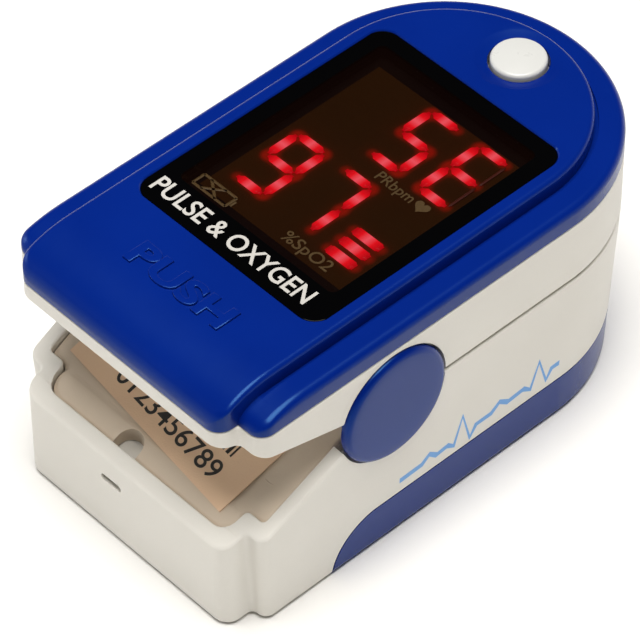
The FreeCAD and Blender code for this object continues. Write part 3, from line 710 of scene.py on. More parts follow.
def lower_case():
    """The white cup with its mouth, cell bay, finger room, hinge ears and lanyard slot."""
    rings = outer_floor_rings() + [lower_ring(0, 9.0)]
    rings += [rim_ring(inset, drop) for inset, drop in fillet(rim_edge, 6, 1, 0.0)]
    case = clean(ring_stack("lower_case", rings, rows=True))
    under = -panel_drop - panel_thick * math.hypot(1, rim_slope) - panel_play
    lip = 0.22
    mouth = [rim_ring(wall, under, y_to=channel_stop, tight=True)]
    for inset, drop in fillet(lip, 5, 1, 0.0):
        mouth.append(rim_ring(wall - inset, drop, y_to=channel_stop, tight=True))
    mouth.append(rim_ring(wall - lip, 2.0, y_to=channel_stop, tight=True))
    boolean(case, clean(ring_stack("tool", mouth, rows=True)))
    well = [rim_ring(wall, 0, back(15.2), channel_stop, z) for z in (trough_low, 19.9)]
    boolean(case, clean(ring_stack("tool", well, rows=True)))
    boolean(case, finger_tool())
    skin = sweep_tool(0.18)
    core = clean(ring_stack("tool", [lower_ring(1.5, 1.4), lower_ring(1.5, 8.0)], rows=True))
    boolean(skin, core)
    boolean(case, skin)
    boolean(case, block(-bay_half, bay_half, back(5.9), back(13.4), 1.4, bay_top + 0.05))
    boolean(case, block(-bay_half, bay_half, back(13.0), back(54.2), -1, bay_top))
    for side in (-1, 1):
        boolean(case, block(side * 11.3, side * 14.0, back(15.6), back(48.0), -1, 11.8))
        x, y = side * screw_x, back(screw_back)
        boolean(case, rod(1.7, (x, y, -1), (x, y, 7.0), 40))
    cap_pockets(case)
    for side in (-1, 1):
        boolean(case, ear(side * 12.1, side * 13.8, 12.6), "UNION")
    boolean(case, slot_tool(-1.7, 8.1, 2.9, 0.9, y_nose - 1, y_nose + 3.2))
    return clean(case, 30)


lower = lower_case()
own(lower, white, "lower_jaw", "white_plastic", "lower_body")

# %% [markdown]
# ## Upper shell
# The white band between the blue cover and the gap. Its lower edge falls
# from the push end to the hinge, and carries a soft radius. It stacks the
# same kind of outline as the lower case, so the two jaws line up.

# %% Upper shell


def edge_height(y):
    """The lower edge falls from the push end, then runs level."""
    return max(25.2 - 0.277 * (y - y_nose), 19.7)


def edge_ring(inset, rise, y_to=far, top=None):
    """Ring a rise above the lower edge of the upper shell."""
    ring = []
    for x, y in plan_ring(inset):
        z = edge_height(y) + rise
        if top is not None:
            z = min(z, top)
        ring.append((x, min(y, y_to), z))
    return ring


def upper_case():
    """The white band with its mouth, board room, finger room, hinge ears and wire holes."""
    rings = [edge_ring(inset, drop) for inset, drop in reversed(fillet(0.6, 7, -1, 0.0))]
    rings += [at_height(plan_ring(0), parting_z - 0.12), at_height(plan_ring(0.12), parting_z)]
    case = clean(ring_stack("upper_case", rings, rows=True))
    lip = 0.3
    mouth = [edge_ring(wall - lip, -2.0, channel_stop)]
    for inset, drop in ((0, 0), (0.09, 0.02), (0.2, 0.12), (lip, lip)):
        mouth.append(edge_ring(wall - lip + inset, drop, channel_stop, 24.9))
    mouth.append([(x, min(y, channel_stop), trough_high) for x, y in plan_ring(wall)])
    boolean(case, clean(ring_stack("tool", mouth, rows=True)))
    boolean(case, clean(ring_stack("tool", [at_height(plan_ring(wall), z) for z in (25.8, 28.4)], rows=True)))
    boolean(case, finger_tool())
    cap_pockets(case)
    for side in (-1, 1):
        boolean(case, ear(side * 14.0, side * 15.68, 25.4), "UNION")
        for distance in (11.5, 44.0):
            x, y = side * 14, back(distance)
            boolean(case, rod(1.7, (x, y, 15), (x, y, trough_high + 0.01), 32))
    boolean(case, block(-2.6, 2.6, back(35.8), back(40.2), 24, 27))
    boolean(case, block(5.3, 10.3, back(22.4), back(23.7), 24, 27))
    return clean(case, 30)


upper = upper_case()
own(upper, white, "upper_jaw", "white_plastic", "upper_shell")

# %% [markdown]
# ## Blue top cover
# Two D shapes, one on the other: a low border and a raised panel with a
# fine groove round it. Both roll down to the push end. A bevel could round
# their edges but not fade their height, so the roll is one rule that scales
# the height of every point by how far back it lies.

# %% Top cover


def rolled(z, y, start, run, least):
    """Height of a point after the front has been rolled down."""
    base = parting_z + 0.1
    t = min(max((y - start) / run, 0.0), 1.0)
    share = least + (1 - least) * math.sqrt(1 - (1 - t) ** 2)
    return base + (z - base) * share


def rolled_d(name, half, front, corner, run, edge, top, least):
    """D shaped solid with a round upper edge, rolled down at its front over a run."""
    rings = []
    places = [(0.0, parting_z + 0.1)] + fillet(edge, 8, 1, top)
    for inset, z in places:
        outline = d_ring(half, front, corner, inset)
        rings.append([(x, y, rolled(z, y, front, run, least)) for x, y in outline])
    return clean(ring_stack(name, rings, rows=True))


def blue_cover():
    """Border, groove, raised panel, hollow, window seat, finger dish and button hole."""
    skirt = rolled_d("top_cover_shell", half_width, back(step_depth), corner=1.6, run=6.0, edge=0.9,
                     top=plateau_z - 1.6, least=0.12)
    groove = [at_height(d_ring(nose_half + 0.45, y_nose - 1, nose_corner, 0), z) for z in (29.45, 33.0)]
    boolean(skirt, clean(ring_stack("tool", groove, rows=True)))
    raised = rolled_d("raised", nose_half, y_nose, corner=nose_corner, run=7.0, edge=0.6,
                      top=plateau_z, least=0.16)
    boolean(skirt, raised, "UNION")
    hollow = [at_height(plan_ring(wall), z) for z in (26.5, 28.3)]
    hollow = [[(x, max(y, back(5)), z) for x, y, z in ring] for ring in hollow]
    boolean(skirt, clean(ring_stack("tool", hollow, rows=True)))
    hollow = [at_height(d_ring(nose_half - wall, back(7.5), 1.0, 0), z) for z in (26.4, 29.9)]
    boolean(skirt, clean(ring_stack("tool", hollow, rows=True)))
    seat = []
    for grow, z in ((0, 30.2), (0, 31.26), (0.14, 31.42), (0.14, 33)):
        plan = rounded_box_rings(12.85 + grow, back(13.55) - grow, back(47.05) + grow, 2.05 + grow)
        seat.append(at_height(plan, z))
    boolean(skirt, clean(ring_stack("tool", seat)))
    boolean(skirt, block(-11.2, 11.2, back(15.2), back(45.4), 26, 31))
    dish_radius, dish_depth = 4.6, 0.5
    dish = [(0.0, plateau_z - dish_depth)]
    for i in range(1, 15):
        r = dish_radius * i / 14
        dish.append((r, plateau_z - dish_depth + dish_depth * (r / dish_radius) ** 2))
    dish += [(5.0, plateau_z + 0.08), (5.0, plateau_z + 3)]
    boolean(skirt, lathe(dish, 96, (0, 0, 1), (0, button_y, 0)))
    boolean(skirt, rod(3.15, (0, button_y, 26), (0, button_y, 34), 72))
    return clean(skirt, 34)


cover = blue_cover()
own(cover, blue, "upper_jaw", "blue_plastic", "top_cover")

# %% [markdown]
# ## Sloping panel
# The panel under the push end lies just below the rim. It could be a copy of
# the CAD piece, but the rim's own rings give it the same outline and slope
# with a soft upper edge. The thumb notch is cut, and a small floor closes it.

# %% Sloping panel
thumb_x, thumb_radius = -1.7, 1.6


def sloping_panel():
    """The panel inside the rim, with its thumb notch and the tops of its screw bosses."""
    end = back(panel_end)
    inside = wall + panel_play
    rings = [rim_ring(inside, -2.1, y_to=end, tight=True)]
    for inset, drop in fillet(0.45, 6, 1, 0.0):
        rings.append(rim_ring(inside + inset, -panel_drop + drop, y_to=end, tight=True))
    panel = clean(ring_stack("sloping_panel", rings, rows=True))
    y = back(wall + 0.8)
    boolean(panel, rod(thumb_radius, (thumb_x, y, 5), (thumb_x, y, 20), 48))
    boolean(panel, block(thumb_x - thumb_radius, thumb_x + thumb_radius, y_nose, y, 5, 20))
    for side in (-1, 1):
        x, y = side * screw_x, back(screw_back)
        boolean(panel, rod(1.45, (x, y, 13.02), (x, y, 14.2), 32), "UNION")
    return clean(panel, 30)


# The panel's darker, warmer finish is painted warm shade from the upper jaw.
own(sloping_panel(), panel_white_painted_shade, "lower_jaw", "white_plastic", "inner_panel")
notch_floor = block(-3.25, -0.15, back(1.75), back(4.1), 9.6, 9.9, "notch_floor")
own(clean(notch_floor), white, "lower_jaw", "white_plastic")

# %% [markdown]
# ## Copies of CAD pieces
# Pieces whose CAD shape is right get a merged copy, so that round faces
# shade smoothly. Their edges could be rounded again here, but the CAD model
# already has them. Weighted normals keep the flat faces flat.

# %% Copies
body_of_node = {}
for body_name, part_names in frame["record"]["behaviour"]["bodies"].items():
    for part_name in part_names:
        body_of_node[part_name] = body_name
slot_of_node = {entry["node"]: entry["material_slot"] for entry in frame["record"]["subparts"]}
by_slot = {
    "blue_plastic": blue, "white_plastic": white, "button_plastic": button_white,
    "smoked_window": window_finish, "display_case": display_black, "lit_segment": lit_red,
    "circuit_board": board_green, "chip_package": chip_black, "clear_lens": lens,
    "silicone": silicone, "steel": steel, "spring_steel": spring_wire,
    "contact_nickel": nickel, "battery_jacket": jacket, "paper": paper,
    "polyimide": film, "connector_plastic": connector,
}


def carry(part_name, material=None, angle=30):
    """Merged, smoothly shaded copy of a CAD piece that stands for it."""
    source = frame["nodes"][part_name]
    mesh = source.data.copy()
    mesh.transform(source.matrix_world)
    copy = set_down(part_name + "_skin", mesh)
    bm = bmesh.new()
    bm.from_mesh(mesh)
    bmesh.ops.remove_doubles(bm, verts=bm.verts, dist=0.0005 * MM)
    bmesh.ops.dissolve_limit(bm, angle_limit=0.002, verts=bm.verts, edges=bm.edges)
    bm.to_mesh(mesh)
    bm.free()
    clean(copy, angle, merge=0.0005)
    slot = slot_of_node[part_name]
    return own(copy, material or by_slot[slot], body_of_node[part_name], slot, part_name)


carry("battery_cover", blue)
for part_name in ("lower_finger_pad", "upper_finger_pad"):
    carry(part_name)

# %% [markdown]
# ## Hinge caps and button
# Round pieces are turned from a profile, as on a lathe, which is also how
# their mould is cut. A cylinder with a bevel would come close, but a profile
# gives the cap its hub, and the button its foot and its low crown.

# %% Turned pieces
cap_radius, cap_thick, cap_hub = 6.6, 2.2, 5.3


def turned_cap(side, end):
    """Disc with a round outer edge on a smaller hub, so that its rim stands clear of the jaws."""
    profile = [(0, 0), (cap_hub, 0), (cap_hub, 1.15), (6.45, 1.2), (cap_radius, 1.32), (cap_radius, 1.5)]
    for inward, below in ((0.0, 0.7), (0.03, 0.5), (0.13, 0.3), (0.3, 0.13), (0.5, 0.03), (0.7, 0.0)):
        profile.append((cap_radius - inward, cap_thick - below))
    profile += [(5.0, cap_thick), (0, cap_thick)]
    cap = lathe(profile, 128, (side, 0, 0), (side * cap_side, y_hinge, hinge.z), "cap_" + end)
    own(cap, blue, "lower_jaw", "blue_plastic", "hinge_cap_" + end)


turned_cap(1, "right")
turned_cap(-1, "left")


def turned_button():
    """Round key with a wide foot under the cover, an upright side and a nearly flat crown."""
    foot_z = low("power_button").z
    side_top, flat_radius, edge, crown = 31.35, 2.5, 0.4, 0.25
    profile = [(0, foot_z), (3.7, foot_z), (3.7, foot_z + 0.5), (2.9, foot_z + 0.55), (2.9, side_top)]
    for i in range(13):
        turn = math.pi / 2 * i / 12
        profile.append((flat_radius + edge * math.cos(turn), side_top + edge * math.sin(turn)))
    for i in range(1, 12):
        r = flat_radius * (1 - i / 11)
        profile.append((r, side_top + edge + crown * (1 - (r / flat_radius) ** 2)))
    piece = lathe(profile, 96, (0, 0, 1), (0, button_y, 0), "button_cap")
    own(piece, button_white, "button", "button_plastic", "power_button")


turned_button()

# %% [markdown]
# ## Display
# A smoked pane sits in a glossy black border, over a dark case with lit
# bars. The border could be print under a clear plate, but a solid one hides
# the blue seat behind it from every side. A black shroud closes the room
# between the border and the display.

# %% Window


def plate_rings(half, y0, y1, radius, z0, z1, edge, steps=10):
    """Rings of a plate with round corners and a small round upper edge."""
    rings = []
    for inset, z in ((0, z0), (0, z1 - edge), (edge * 0.3, z1 - edge * 0.3), (edge, z1)):
        plan = rounded_box_rings(half - inset, y0 + inset, y1 - inset, radius - inset, steps)
        rings.append(at_height(plan, z))
    return rings


def sight_solid(name, z0, z1):
    """The shape of the clear opening, between two heights."""
    plan = rounded_box_rings(10.9, back(17.8), back(45.1), 0.8)
    return clean(ring_stack(name, [at_height(plan, z) for z in (z0, z1)]))


window_low, window_top = low("display_window"), high("display_window")
border = clean(ring_stack("window_border", plate_rings(
    12.8, back(13.6), back(47.0), 2.0, window_low.z, window_top.z, edge=0.07)))
boolean(border, sight_solid("tool", 29, 32))
own(clean(border, 40), bezel_black, "upper_jaw", "smoked_window", "display_window")
pane = sight_solid("window_pane", window_top.z - 0.3, window_top.z - 0.002)
own(pane, window_finish, "upper_jaw", "smoked_window")
shroud = clean(ring_stack("display_shroud", plate_rings(
    11.15, back(15.25), back(45.35), 0.3, 29.65, window_low.z + 0.02, edge=0.01)))
boolean(shroud, sight_solid("tool", 29, 32))
own(clean(shroud), display_black, "upper_jaw", "display_case")
carry("display_module", display_black)

# %% [markdown]
# ## Lit bars
# Each bar is an edge of a small mesh, and one node tree gives every edge its
# flat, pointed body. The tree also keeps how far each point lies from the
# bar's end, so the light can be hottest in the middle.

# %% Bars by nodes


def node_group(name, **inputs):
    """Geometry node group with a geometry socket each way and these named inputs."""
    tree = bpy.data.node_groups.new(name, "GeometryNodeTree")
    for socket, kind in (("Geometry", "Geometry"), *inputs.items()):
        tree.interface.new_socket(socket, in_out="INPUT", socket_type="NodeSocket" + kind)
    tree.interface.new_socket("Geometry", in_out="OUTPUT", socket_type="NodeSocketGeometry")
    return tree, tree.nodes.new("NodeGroupInput"), tree.nodes.new("NodeGroupOutput")


def close_group(tree, start, end, body):
    """Turn the instances real, give them the material and pass the mesh out."""
    real = tree.nodes.new("GeometryNodeRealizeInstances")
    paint = tree.nodes.new("GeometryNodeSetMaterial")
    tree.links.new(body.outputs["Mesh"], real.inputs["Geometry"])
    tree.links.new(real.outputs["Geometry"], paint.inputs["Geometry"])
    tree.links.new(start.outputs["Material"], paint.inputs["Material"])
    tree.links.new(paint.outputs["Geometry"], end.inputs["Geometry"])


def math_node(tree, operation, second=None):
    """Math node, with its second number if it is fixed."""
    made = tree.nodes.new("ShaderNodeMath")
    made.operation = operation
    if second is not None:
        made.inputs[1].default_value = second
    return made


def bar_tree():
    """Flat bars on edges. Point is the length of the taper, End its share of the width at the tip."""
    tree, start, end = node_group("bars on edges", Width="Float", Thickness="Float", Point="Float",
                                  End="Float", Material="Material")
    curve = tree.nodes.new("GeometryNodeMeshToCurve")
    more = tree.nodes.new("GeometryNodeResampleCurve")
    more.inputs["Count"].default_value = 25
    where = tree.nodes.new("GeometryNodeSplineParameter")
    length = tree.nodes.new("GeometryNodeSplineLength")
    rest = math_node(tree, "SUBTRACT")
    near = math_node(tree, "MINIMUM")
    share = math_node(tree, "DIVIDE")
    full = math_node(tree, "MINIMUM", 1.0)
    some = math_node(tree, "MAXIMUM")
    whole = math_node(tree, "DIVIDE")
    twice = math_node(tree, "MULTIPLY", 2.0)
    keep = tree.nodes.new("GeometryNodeStoreNamedAttribute")
    keep.data_type = "FLOAT"
    keep.domain = "POINT"
    keep.inputs["Name"].default_value = "along"
    radius = tree.nodes.new("GeometryNodeSetCurveRadius")
    profile = tree.nodes.new("GeometryNodeCurvePrimitiveQuadrilateral")
    body = tree.nodes.new("GeometryNodeCurveToMesh")
    body.inputs["Fill Caps"].default_value = True
    link = tree.links.new
    link(start.outputs["Geometry"], curve.inputs["Mesh"])
    link(curve.outputs["Curve"], more.inputs["Curve"])
    link(length.outputs["Length"], rest.inputs[0])
    link(where.outputs["Length"], rest.inputs[1])
    link(where.outputs["Length"], near.inputs[0])
    link(rest.outputs[0], near.inputs[1])
    link(near.outputs[0], share.inputs[0])
    link(start.outputs["Point"], share.inputs[1])
    link(share.outputs[0], full.inputs[0])
    link(full.outputs[0], some.inputs[0])
    link(start.outputs["End"], some.inputs[1])
    link(near.outputs[0], twice.inputs[0])
    link(twice.outputs[0], whole.inputs[0])
    link(length.outputs["Length"], whole.inputs[1])
    link(more.outputs["Curve"], radius.inputs["Curve"])
    link(some.outputs[0], radius.inputs["Radius"])
    link(start.outputs["Thickness"], profile.inputs["Height"])
    link(start.outputs["Width"], profile.inputs["Width"])
    link(radius.outputs["Curve"], keep.inputs["Geometry"])
    link(whole.outputs[0], keep.inputs["Value"])
    link(keep.outputs["Geometry"], body.inputs["Curve"])
    link(profile.outputs["Curve"], body.inputs["Profile Curve"])
    link(some.outputs[0], body.inputs["Scale"])
    close_group(tree, start, end, body)
    return tree


def apply_tree(piece, tree, **values):
    """Give a piece the tree with these inputs, and keep its result as a plain mesh."""
    modifier = piece.modifiers.new("made by nodes", "NODES")
    modifier.node_group = tree
    for socket in tree.interface.items_tree:
        if socket.in_out == "INPUT" and socket.name in values:
            modifier[socket.identifier] = values[socket.name]
    mesh = made_mesh(piece)
    piece.modifiers.remove(modifier)
    piece.data = mesh
    return piece


def edge_mesh(name, lines):
    """Loose edges, one for each pair of points."""
    vertices, edges = [], []
    for a, b in lines:
        edges.append((len(vertices), len(vertices) + 1))
        vertices += [Vector(a) * MM, Vector(b) * MM]
    mesh = bpy.data.meshes.new(name)
    mesh.from_pydata(vertices, edges, [])
    return set_down(name, mesh)


digit_width, digit_height = 4.8, 9.2
bar_width, level_width, dim_width = 0.98, 1.15, 0.3
bar_gap = 0.2
segments_of = {"9": "abcdfg", "7": "abc", "5": "acdfg", "8": "adefg", "8 dim": "bc"}
display_z = high("display_segments").z + 0.03


def digit_lines(letter, x, distance):
    """Axes of the bars of one digit, with its centre at x and a distance behind the push end."""
    w, h = digit_width / 2 - bar_width / 2, digit_height / 2 - bar_width / 2
    gap = bar_gap
    y = back(distance)
    ends = {
        "a": ((-w + gap, h), (w - gap, h)),
        "g": ((-w + gap, 0), (w - gap, 0)),
        "d": ((-w + gap, -h), (w - gap, -h)),
        "f": ((-w, gap), (-w, h - gap)),
        "b": ((w, gap), (w, h - gap)),
        "e": ((-w, -h + gap), (-w, -gap)),
        "c": ((w, -h + gap), (w, -gap)),
    }
    lines = []
    for key in segments_of[letter]:
        (ax, ay), (bx, by) = ends[key]
        lines.append(((x + ax, y + ay, display_z), (x + bx, y + by, display_z)))
    return lines


near_row, far_row, far_right = 27.2, 38.9, 6.95
digits = (("9", -6.5, near_row), ("7", 0.15, near_row), ("5", 0.2, far_row), ("8", far_right, far_row))
lit_lines = [line for digit in digits for line in digit_lines(*digit)]
level_lines = []
for k in range(3):
    y = back(22.8 + 1.75 * k)
    level_lines.append(((4.9, y, display_z), (8.6, y, display_z)))
tree = bar_tree()
bars = apply_tree(edge_mesh("lit_bars", lit_lines), tree, Width=bar_width * MM, Thickness=0.08 * MM,
                  Point=bar_width * 0.55 * MM, End=0.4, Material=lit_red)
own(bars, lit_red, "upper_jaw", "lit_segment", "display_segments")
levels = apply_tree(edge_mesh("level_bars", level_lines), tree, Width=level_width * MM, Thickness=0.08 * MM,
                    Point=0.25 * MM, End=0.75, Material=lit_red)
own(levels, lit_red, "upper_jaw", "lit_segment")
dim = apply_tree(edge_mesh("dim_bars", digit_lines("8 dim", far_right, far_row)), tree,
                 Width=dim_width * MM, Thickness=0.05 * MM, Point=0.3 * MM, End=0.3, Material=dim_red)
own(dim, dim_red, "upper_jaw", "lit_segment")
print("bars size", [round(v / MM, 2) for v in bars.dimensions])

# %% [markdown]
# The light of the bars spills on the face of the display. A fine grid lies
# on the case, and each of its points keeps how near the nearest lit bar is.

# %% Display face


def distance_to(line, x, y):
    """How far a place on the face is from the axis of a bar."""
    (ax, ay, _), (bx, by, _) = line
    dx, dy = bx - ax, by - ay
    t = min(max(((x - ax) * dx + (y - ay) * dy) / (dx * dx + dy * dy), 0.0), 1.0)
    return math.hypot(x - ax - t * dx, y - ay - t * dy)


near_reach, wide_reach = 0.75, 2.2


def display_face():
    """Fine grid over the display, each point holding the light that falls on it."""
    columns, rows = 110, 150
    x0, x1, y0, y1 = -10.0, 9.9, back(19.8), back(43.8)
    z = high("display_module").z + 0.02
    vertices, faces, halo = [], [], []
    for j in range(rows + 1):
        for i in range(columns + 1):
            x, y = x0 + (x1 - x0) * i / columns, y0 + (y1 - y0) * j / rows
            vertices.append((x, y, z))
            gaps = [distance_to(line, x, y) for line in lit_lines + level_lines]
            glow = sum(math.exp(-(gap / near_reach) ** 2) for gap in gaps)
            wide = sum(math.exp(-(gap / wide_reach) ** 2) for gap in gaps)
            halo.append(min(0.75 * glow + 0.05 * wide, 1.0))
    for j in range(rows):
        for i in range(columns):
            a = j * (columns + 1) + i
            faces.append((a, a + 1, a + columns + 2, a + columns + 1))
    face = new_piece("display_face", vertices, faces)
    face.data.attributes.new("halo", "FLOAT", "POINT").data.foreach_set("value", halo)
    return face


own(display_face(), glow_face, "upper_jaw", "display_case")

# %% [markdown]
# ## Words and marks
# Print and raised letters are text objects made into meshes, then set in
# their place on the surface. A picture could carry them, but a mesh stays
# sharp from close by. The heart and the cell are small outlines beside them.

# %% Words and lines


def word(name, text, width, height, thick, place, bold=0.0, edge=0.0):
    """Text as a mesh of this width and height in millimetres, set at a place."""
    data = bpy.data.curves.new(name, "FONT")
    data.body = text
    data.align_x = "CENTER"
    data.offset = bold
    data.extrude = 0.05
    data.bevel_depth = edge
    data.bevel_resolution = 2
    data.resolution_u = 6
    holder = set_down(name, data)
    mesh = made_mesh(holder)
    bpy.data.objects.remove(holder)
    points = [v.co.copy() for v in mesh.vertices]
    least = Vector([min(p[k] for p in points) for k in range(3)])
    most = Vector([max(p[k] for p in points) for k in range(3)])
    size = most - least
    for vertex in mesh.vertices:
        p = vertex.co - (least + most) / 2
        p = Vector((p.x * width / size.x, p.y * height / size.y, (p.z / size.z + 0.5) * thick))
        vertex.co = (place @ p) * MM
    return clean(set_down(name, mesh), 40, merge=0.0005)


def round_line(name, points, width):
    """A round stroke along points, as a mesh that can then be pressed flat."""
    data = bpy.data.curves.new(name, "CURVE")
    data.dimensions = "3D"
    data.bevel_depth = width / 2
    data.bevel_resolution = 3
    data.use_fill_caps = True
    run = data.splines.new("POLY")
    run.points.add(len(points) - 1)
    for point, p in zip(run.points, points):
        point.co = (*p, 1)
    holder = set_down(name, data)
    mesh = made_mesh(holder)
    bpy.data.objects.remove(holder)
    for vertex in mesh.vertices:
        vertex.co *= MM
    return set_down(name, mesh)


def at(x, distance, z):
    """A move to x, to a distance behind the push end, and to a height."""
    return Matrix.Translation((x, back(distance), z))


ink_thick = 0.02
bezel_place = at(-0.95, 15.9, window_top.z + 0.001)
bezel_words = word("bezel_words", "PULSE & OXYGEN", 21.7, 2.2, ink_thick, bezel_place, bold=0.015)
own(bezel_words, ink_white, "upper_jaw", "smoked_window")
push_place = at(0.35, 8.2, plateau_z - 0.05)
push_letters = word("push_letters", "PUSH", 13.2, 3.2, 0.3, push_place, bold=0.01, edge=0.03)
own(push_letters, blue, "upper_jaw", "blue_plastic")
face_z = high("display_module").z + 0.03
for name, text, width, height, x, distance in (
    ("saturation_words", "%SpO2", 6.4, 1.9, 3.9, 20.9),
    ("rate_words", "PRbpm", 4.9, 1.7, 3.4, 33.0),
):
    small_words = word(name, text, width, height, ink_thick, at(x, distance, face_z), bold=0.008)
    own(small_words, icon_tan, "upper_jaw", "display_case")


def heart():
    """Heart outline from its usual formula, made a thin plate."""
    scale = 0.055
    loop = []
    for i in range(40):
        t = 2 * math.pi * i / 40
        lobe = 13 * math.cos(t) - 5 * math.cos(2 * t) - 2 * math.cos(3 * t) - math.cos(4 * t)
        loop.append((7.1 + scale * 16 * math.sin(t) ** 3, back(33.1) + scale * lobe))
    return clean(ring_stack("heart_icon", [at_height(loop, z) for z in (face_z, face_z + ink_thick)]))


own(heart(), icon_tan, "upper_jaw", "display_case")
x0, x1, y0, y1 = -10.6, -6.0, back(19.4), back(21.0)
cell_lines = [((x0, y0), (x1, y0)), ((x1, y0), (x1, y1)), ((x1, y1), (x0, y1)), ((x0, y1), (x0, y0)),
              ((-9.6, y0), (-7.4, y1)), ((-9.6, y1), (-7.4, y0)), ((-5.7, back(19.8)), (-5.7, back(20.6)))]
cell_lines = [((*a, face_z + 0.01), (*b, face_z + 0.01)) for a, b in cell_lines]
cell_icon = apply_tree(edge_mesh("cell_icon", cell_lines), tree, Width=0.32 * MM, Thickness=ink_thick * MM,
                       Point=0.1 * MM, End=1.0, Material=icon_tan)
own(cell_icon, icon_tan, "upper_jaw", "display_case")

# %% [markdown]
# The paper label leans with the panel and is a few degrees askew. Its
# digits run up, and its stripes are edges of one mesh with flat bodies.

# %% Label
# The label's tan finish is painted warm shade on off white paper.
carry("panel_label", paper)
label_back, label_turn = 9.2, -7
label_place = (at(-0.8, label_back, rim_z + rim_slope * label_back - panel_drop)
               @ Matrix.Rotation(math.atan(rim_slope), 4, "X")
               @ Matrix.Rotation(math.radians(label_turn), 4, "Z"))
digits_place = label_place @ Matrix.Translation((1.3, -3.1, 0.155))
own(word("label_digits", "0123456789", 16.0, 2.1, ink_thick, digits_place, bold=0.006),
    ink_black, "lower_jaw", "paper")
stripe_step, stripe_gap, stripe_width, stripe_z = 0.2, 0.27, 0.21, 0.165
stripes = []
u = -5.0
for run in (2, 1, 1, 3, 1, 2, 1, 1, 2, 3, 1, 1, 2, 1, 3, 1, 2, 1, 1, 2, 1, 3, 2, 1):
    for _ in range(run):
        stripes.append([label_place @ Vector((u, v, stripe_z)) for v in (-1.15, 2.2)])
        u += stripe_step
    u += stripe_gap
    if u > 9.2:
        break
stripe_piece = apply_tree(edge_mesh("label_stripes", stripes), tree, Width=stripe_width * MM,
                          Thickness=ink_thick * MM, Point=0.1 * MM, End=1.0, Material=ink_black)
own(stripe_piece, ink_black, "lower_jaw", "paper")

# %% [markdown]
# A pulse line is printed in light blue on the flat of the right side. A
# round stroke follows its points, and then each of its vertices is set just
# outside the wall or just inside it, so the print leans as the wall does.

# %% Side print
beats = [
    (21.0, 7.4), (24.0, 7.5), (25.0, 8.3), (26.0, 7.4), (27.5, 7.6), (28.4, 6.9),
    (29.4, 10.6), (30.6, 6.4), (31.4, 7.8), (33.5, 7.8), (34.6, 8.7), (35.8, 7.8),
    (38.0, 8.0), (39.0, 7.2), (40.0, 10.6), (41.2, 6.9), (41.9, 8.2), (43.0, 8.2),
]
print_proud, print_sunk = 0.012, 0.02
points = [(half_width - taper(z) + 0.01, back(distance), z) for distance, z in beats]
side_print = round_line("side_print", points, 0.75)
for vertex in side_print.data.vertices:
    wall_x = (half_width - taper(vertex.co.z / MM)) * MM
    outside = vertex.co.x > wall_x + 0.01 * MM
    vertex.co.x = wall_x + (print_proud * MM if outside else -print_sunk * MM)
own(clean(side_print), ink_blue, "lower_jaw", "white_plastic")

# %% [markdown]
# ## Springs
# A spring is wire that follows a path. The path is a chain of edges, and one
# node tree turns it to a curve and sweeps a round wire along it. The hinge
# spring has one leg resting on each jaw.

# %% Wire by nodes


def wire_tree():
    """Round wire along a chain of edges, smoothed and cut into this many points."""
    tree, start, end = node_group("wire on a path", Radius="Float", Points="Int", Material="Material")
    curve = tree.nodes.new("GeometryNodeMeshToCurve")
    smooth = tree.nodes.new("GeometryNodeCurveSplineType")
    smooth.spline_type = "CATMULL_ROM"
    more = tree.nodes.new("GeometryNodeResampleCurve")
    circle = tree.nodes.new("GeometryNodeCurvePrimitiveCircle")
    circle.inputs["Resolution"].default_value = 14
    body = tree.nodes.new("GeometryNodeCurveToMesh")
    body.inputs["Fill Caps"].default_value = True
    link = tree.links.new
    link(start.outputs["Geometry"], curve.inputs["Mesh"])
    link(curve.outputs["Curve"], smooth.inputs["Curve"])
    link(smooth.outputs["Curve"], more.inputs["Curve"])
    link(start.outputs["Points"], more.inputs["Count"])
    link(more.outputs["Curve"], body.inputs["Curve"])
    link(start.outputs["Radius"], circle.inputs["Radius"])
    link(circle.outputs["Curve"], body.inputs["Profile Curve"])
    close_group(tree, start, end, body)
    return tree


wire = wire_tree()


def path_mesh(name, points):
    """Chain of edges through points."""
    mesh = bpy.data.meshes.new(name)
    edges = [(i, i + 1) for i in range(len(points) - 1)]
    mesh.from_pydata([Vector(p) * MM for p in points], edges, [])
    return set_down(name, mesh)


# %% Hinge spring
coil_half, coil_radius, coil_turns = 4.2, 2.0, -8.5
coil_steps = 220
leg_back, leg_rest = 11.5, 0.45
wound = [(-coil_half, back(leg_back), trough_high - leg_rest)]
for i in range(coil_steps + 1):
    share = i / coil_steps
    turn = math.radians(90) + 2 * math.pi * coil_turns * share
    x = -coil_half + 2 * coil_half * share
    wound.append((x, y_hinge + coil_radius * math.cos(turn), hinge.z + coil_radius * math.sin(turn)))
wound.append((coil_half, back(leg_back), trough_low + leg_rest))
hinge_spring = apply_tree(path_mesh("hinge_spring", wound), wire, Radius=0.35 * MM, Points=460,
                          Material=spring_wire)
clean(hinge_spring, 60, merge=0.0005)
hinge_spring.data.materials.clear()
hinge_spring.data.materials.append(spring_wire)
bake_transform(hinge_spring)
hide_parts("torsion_spring")
print(hinge_spring.name, "faces", len(hinge_spring.data.polygons))

# %% [markdown]
# The coils that press on the cells taper towards the cell, so that they can
# be squeezed flat. The same tree sweeps their thinner wire.

# %% Cell springs
cell_axis_z = 6.8
cell_turns = 3.0


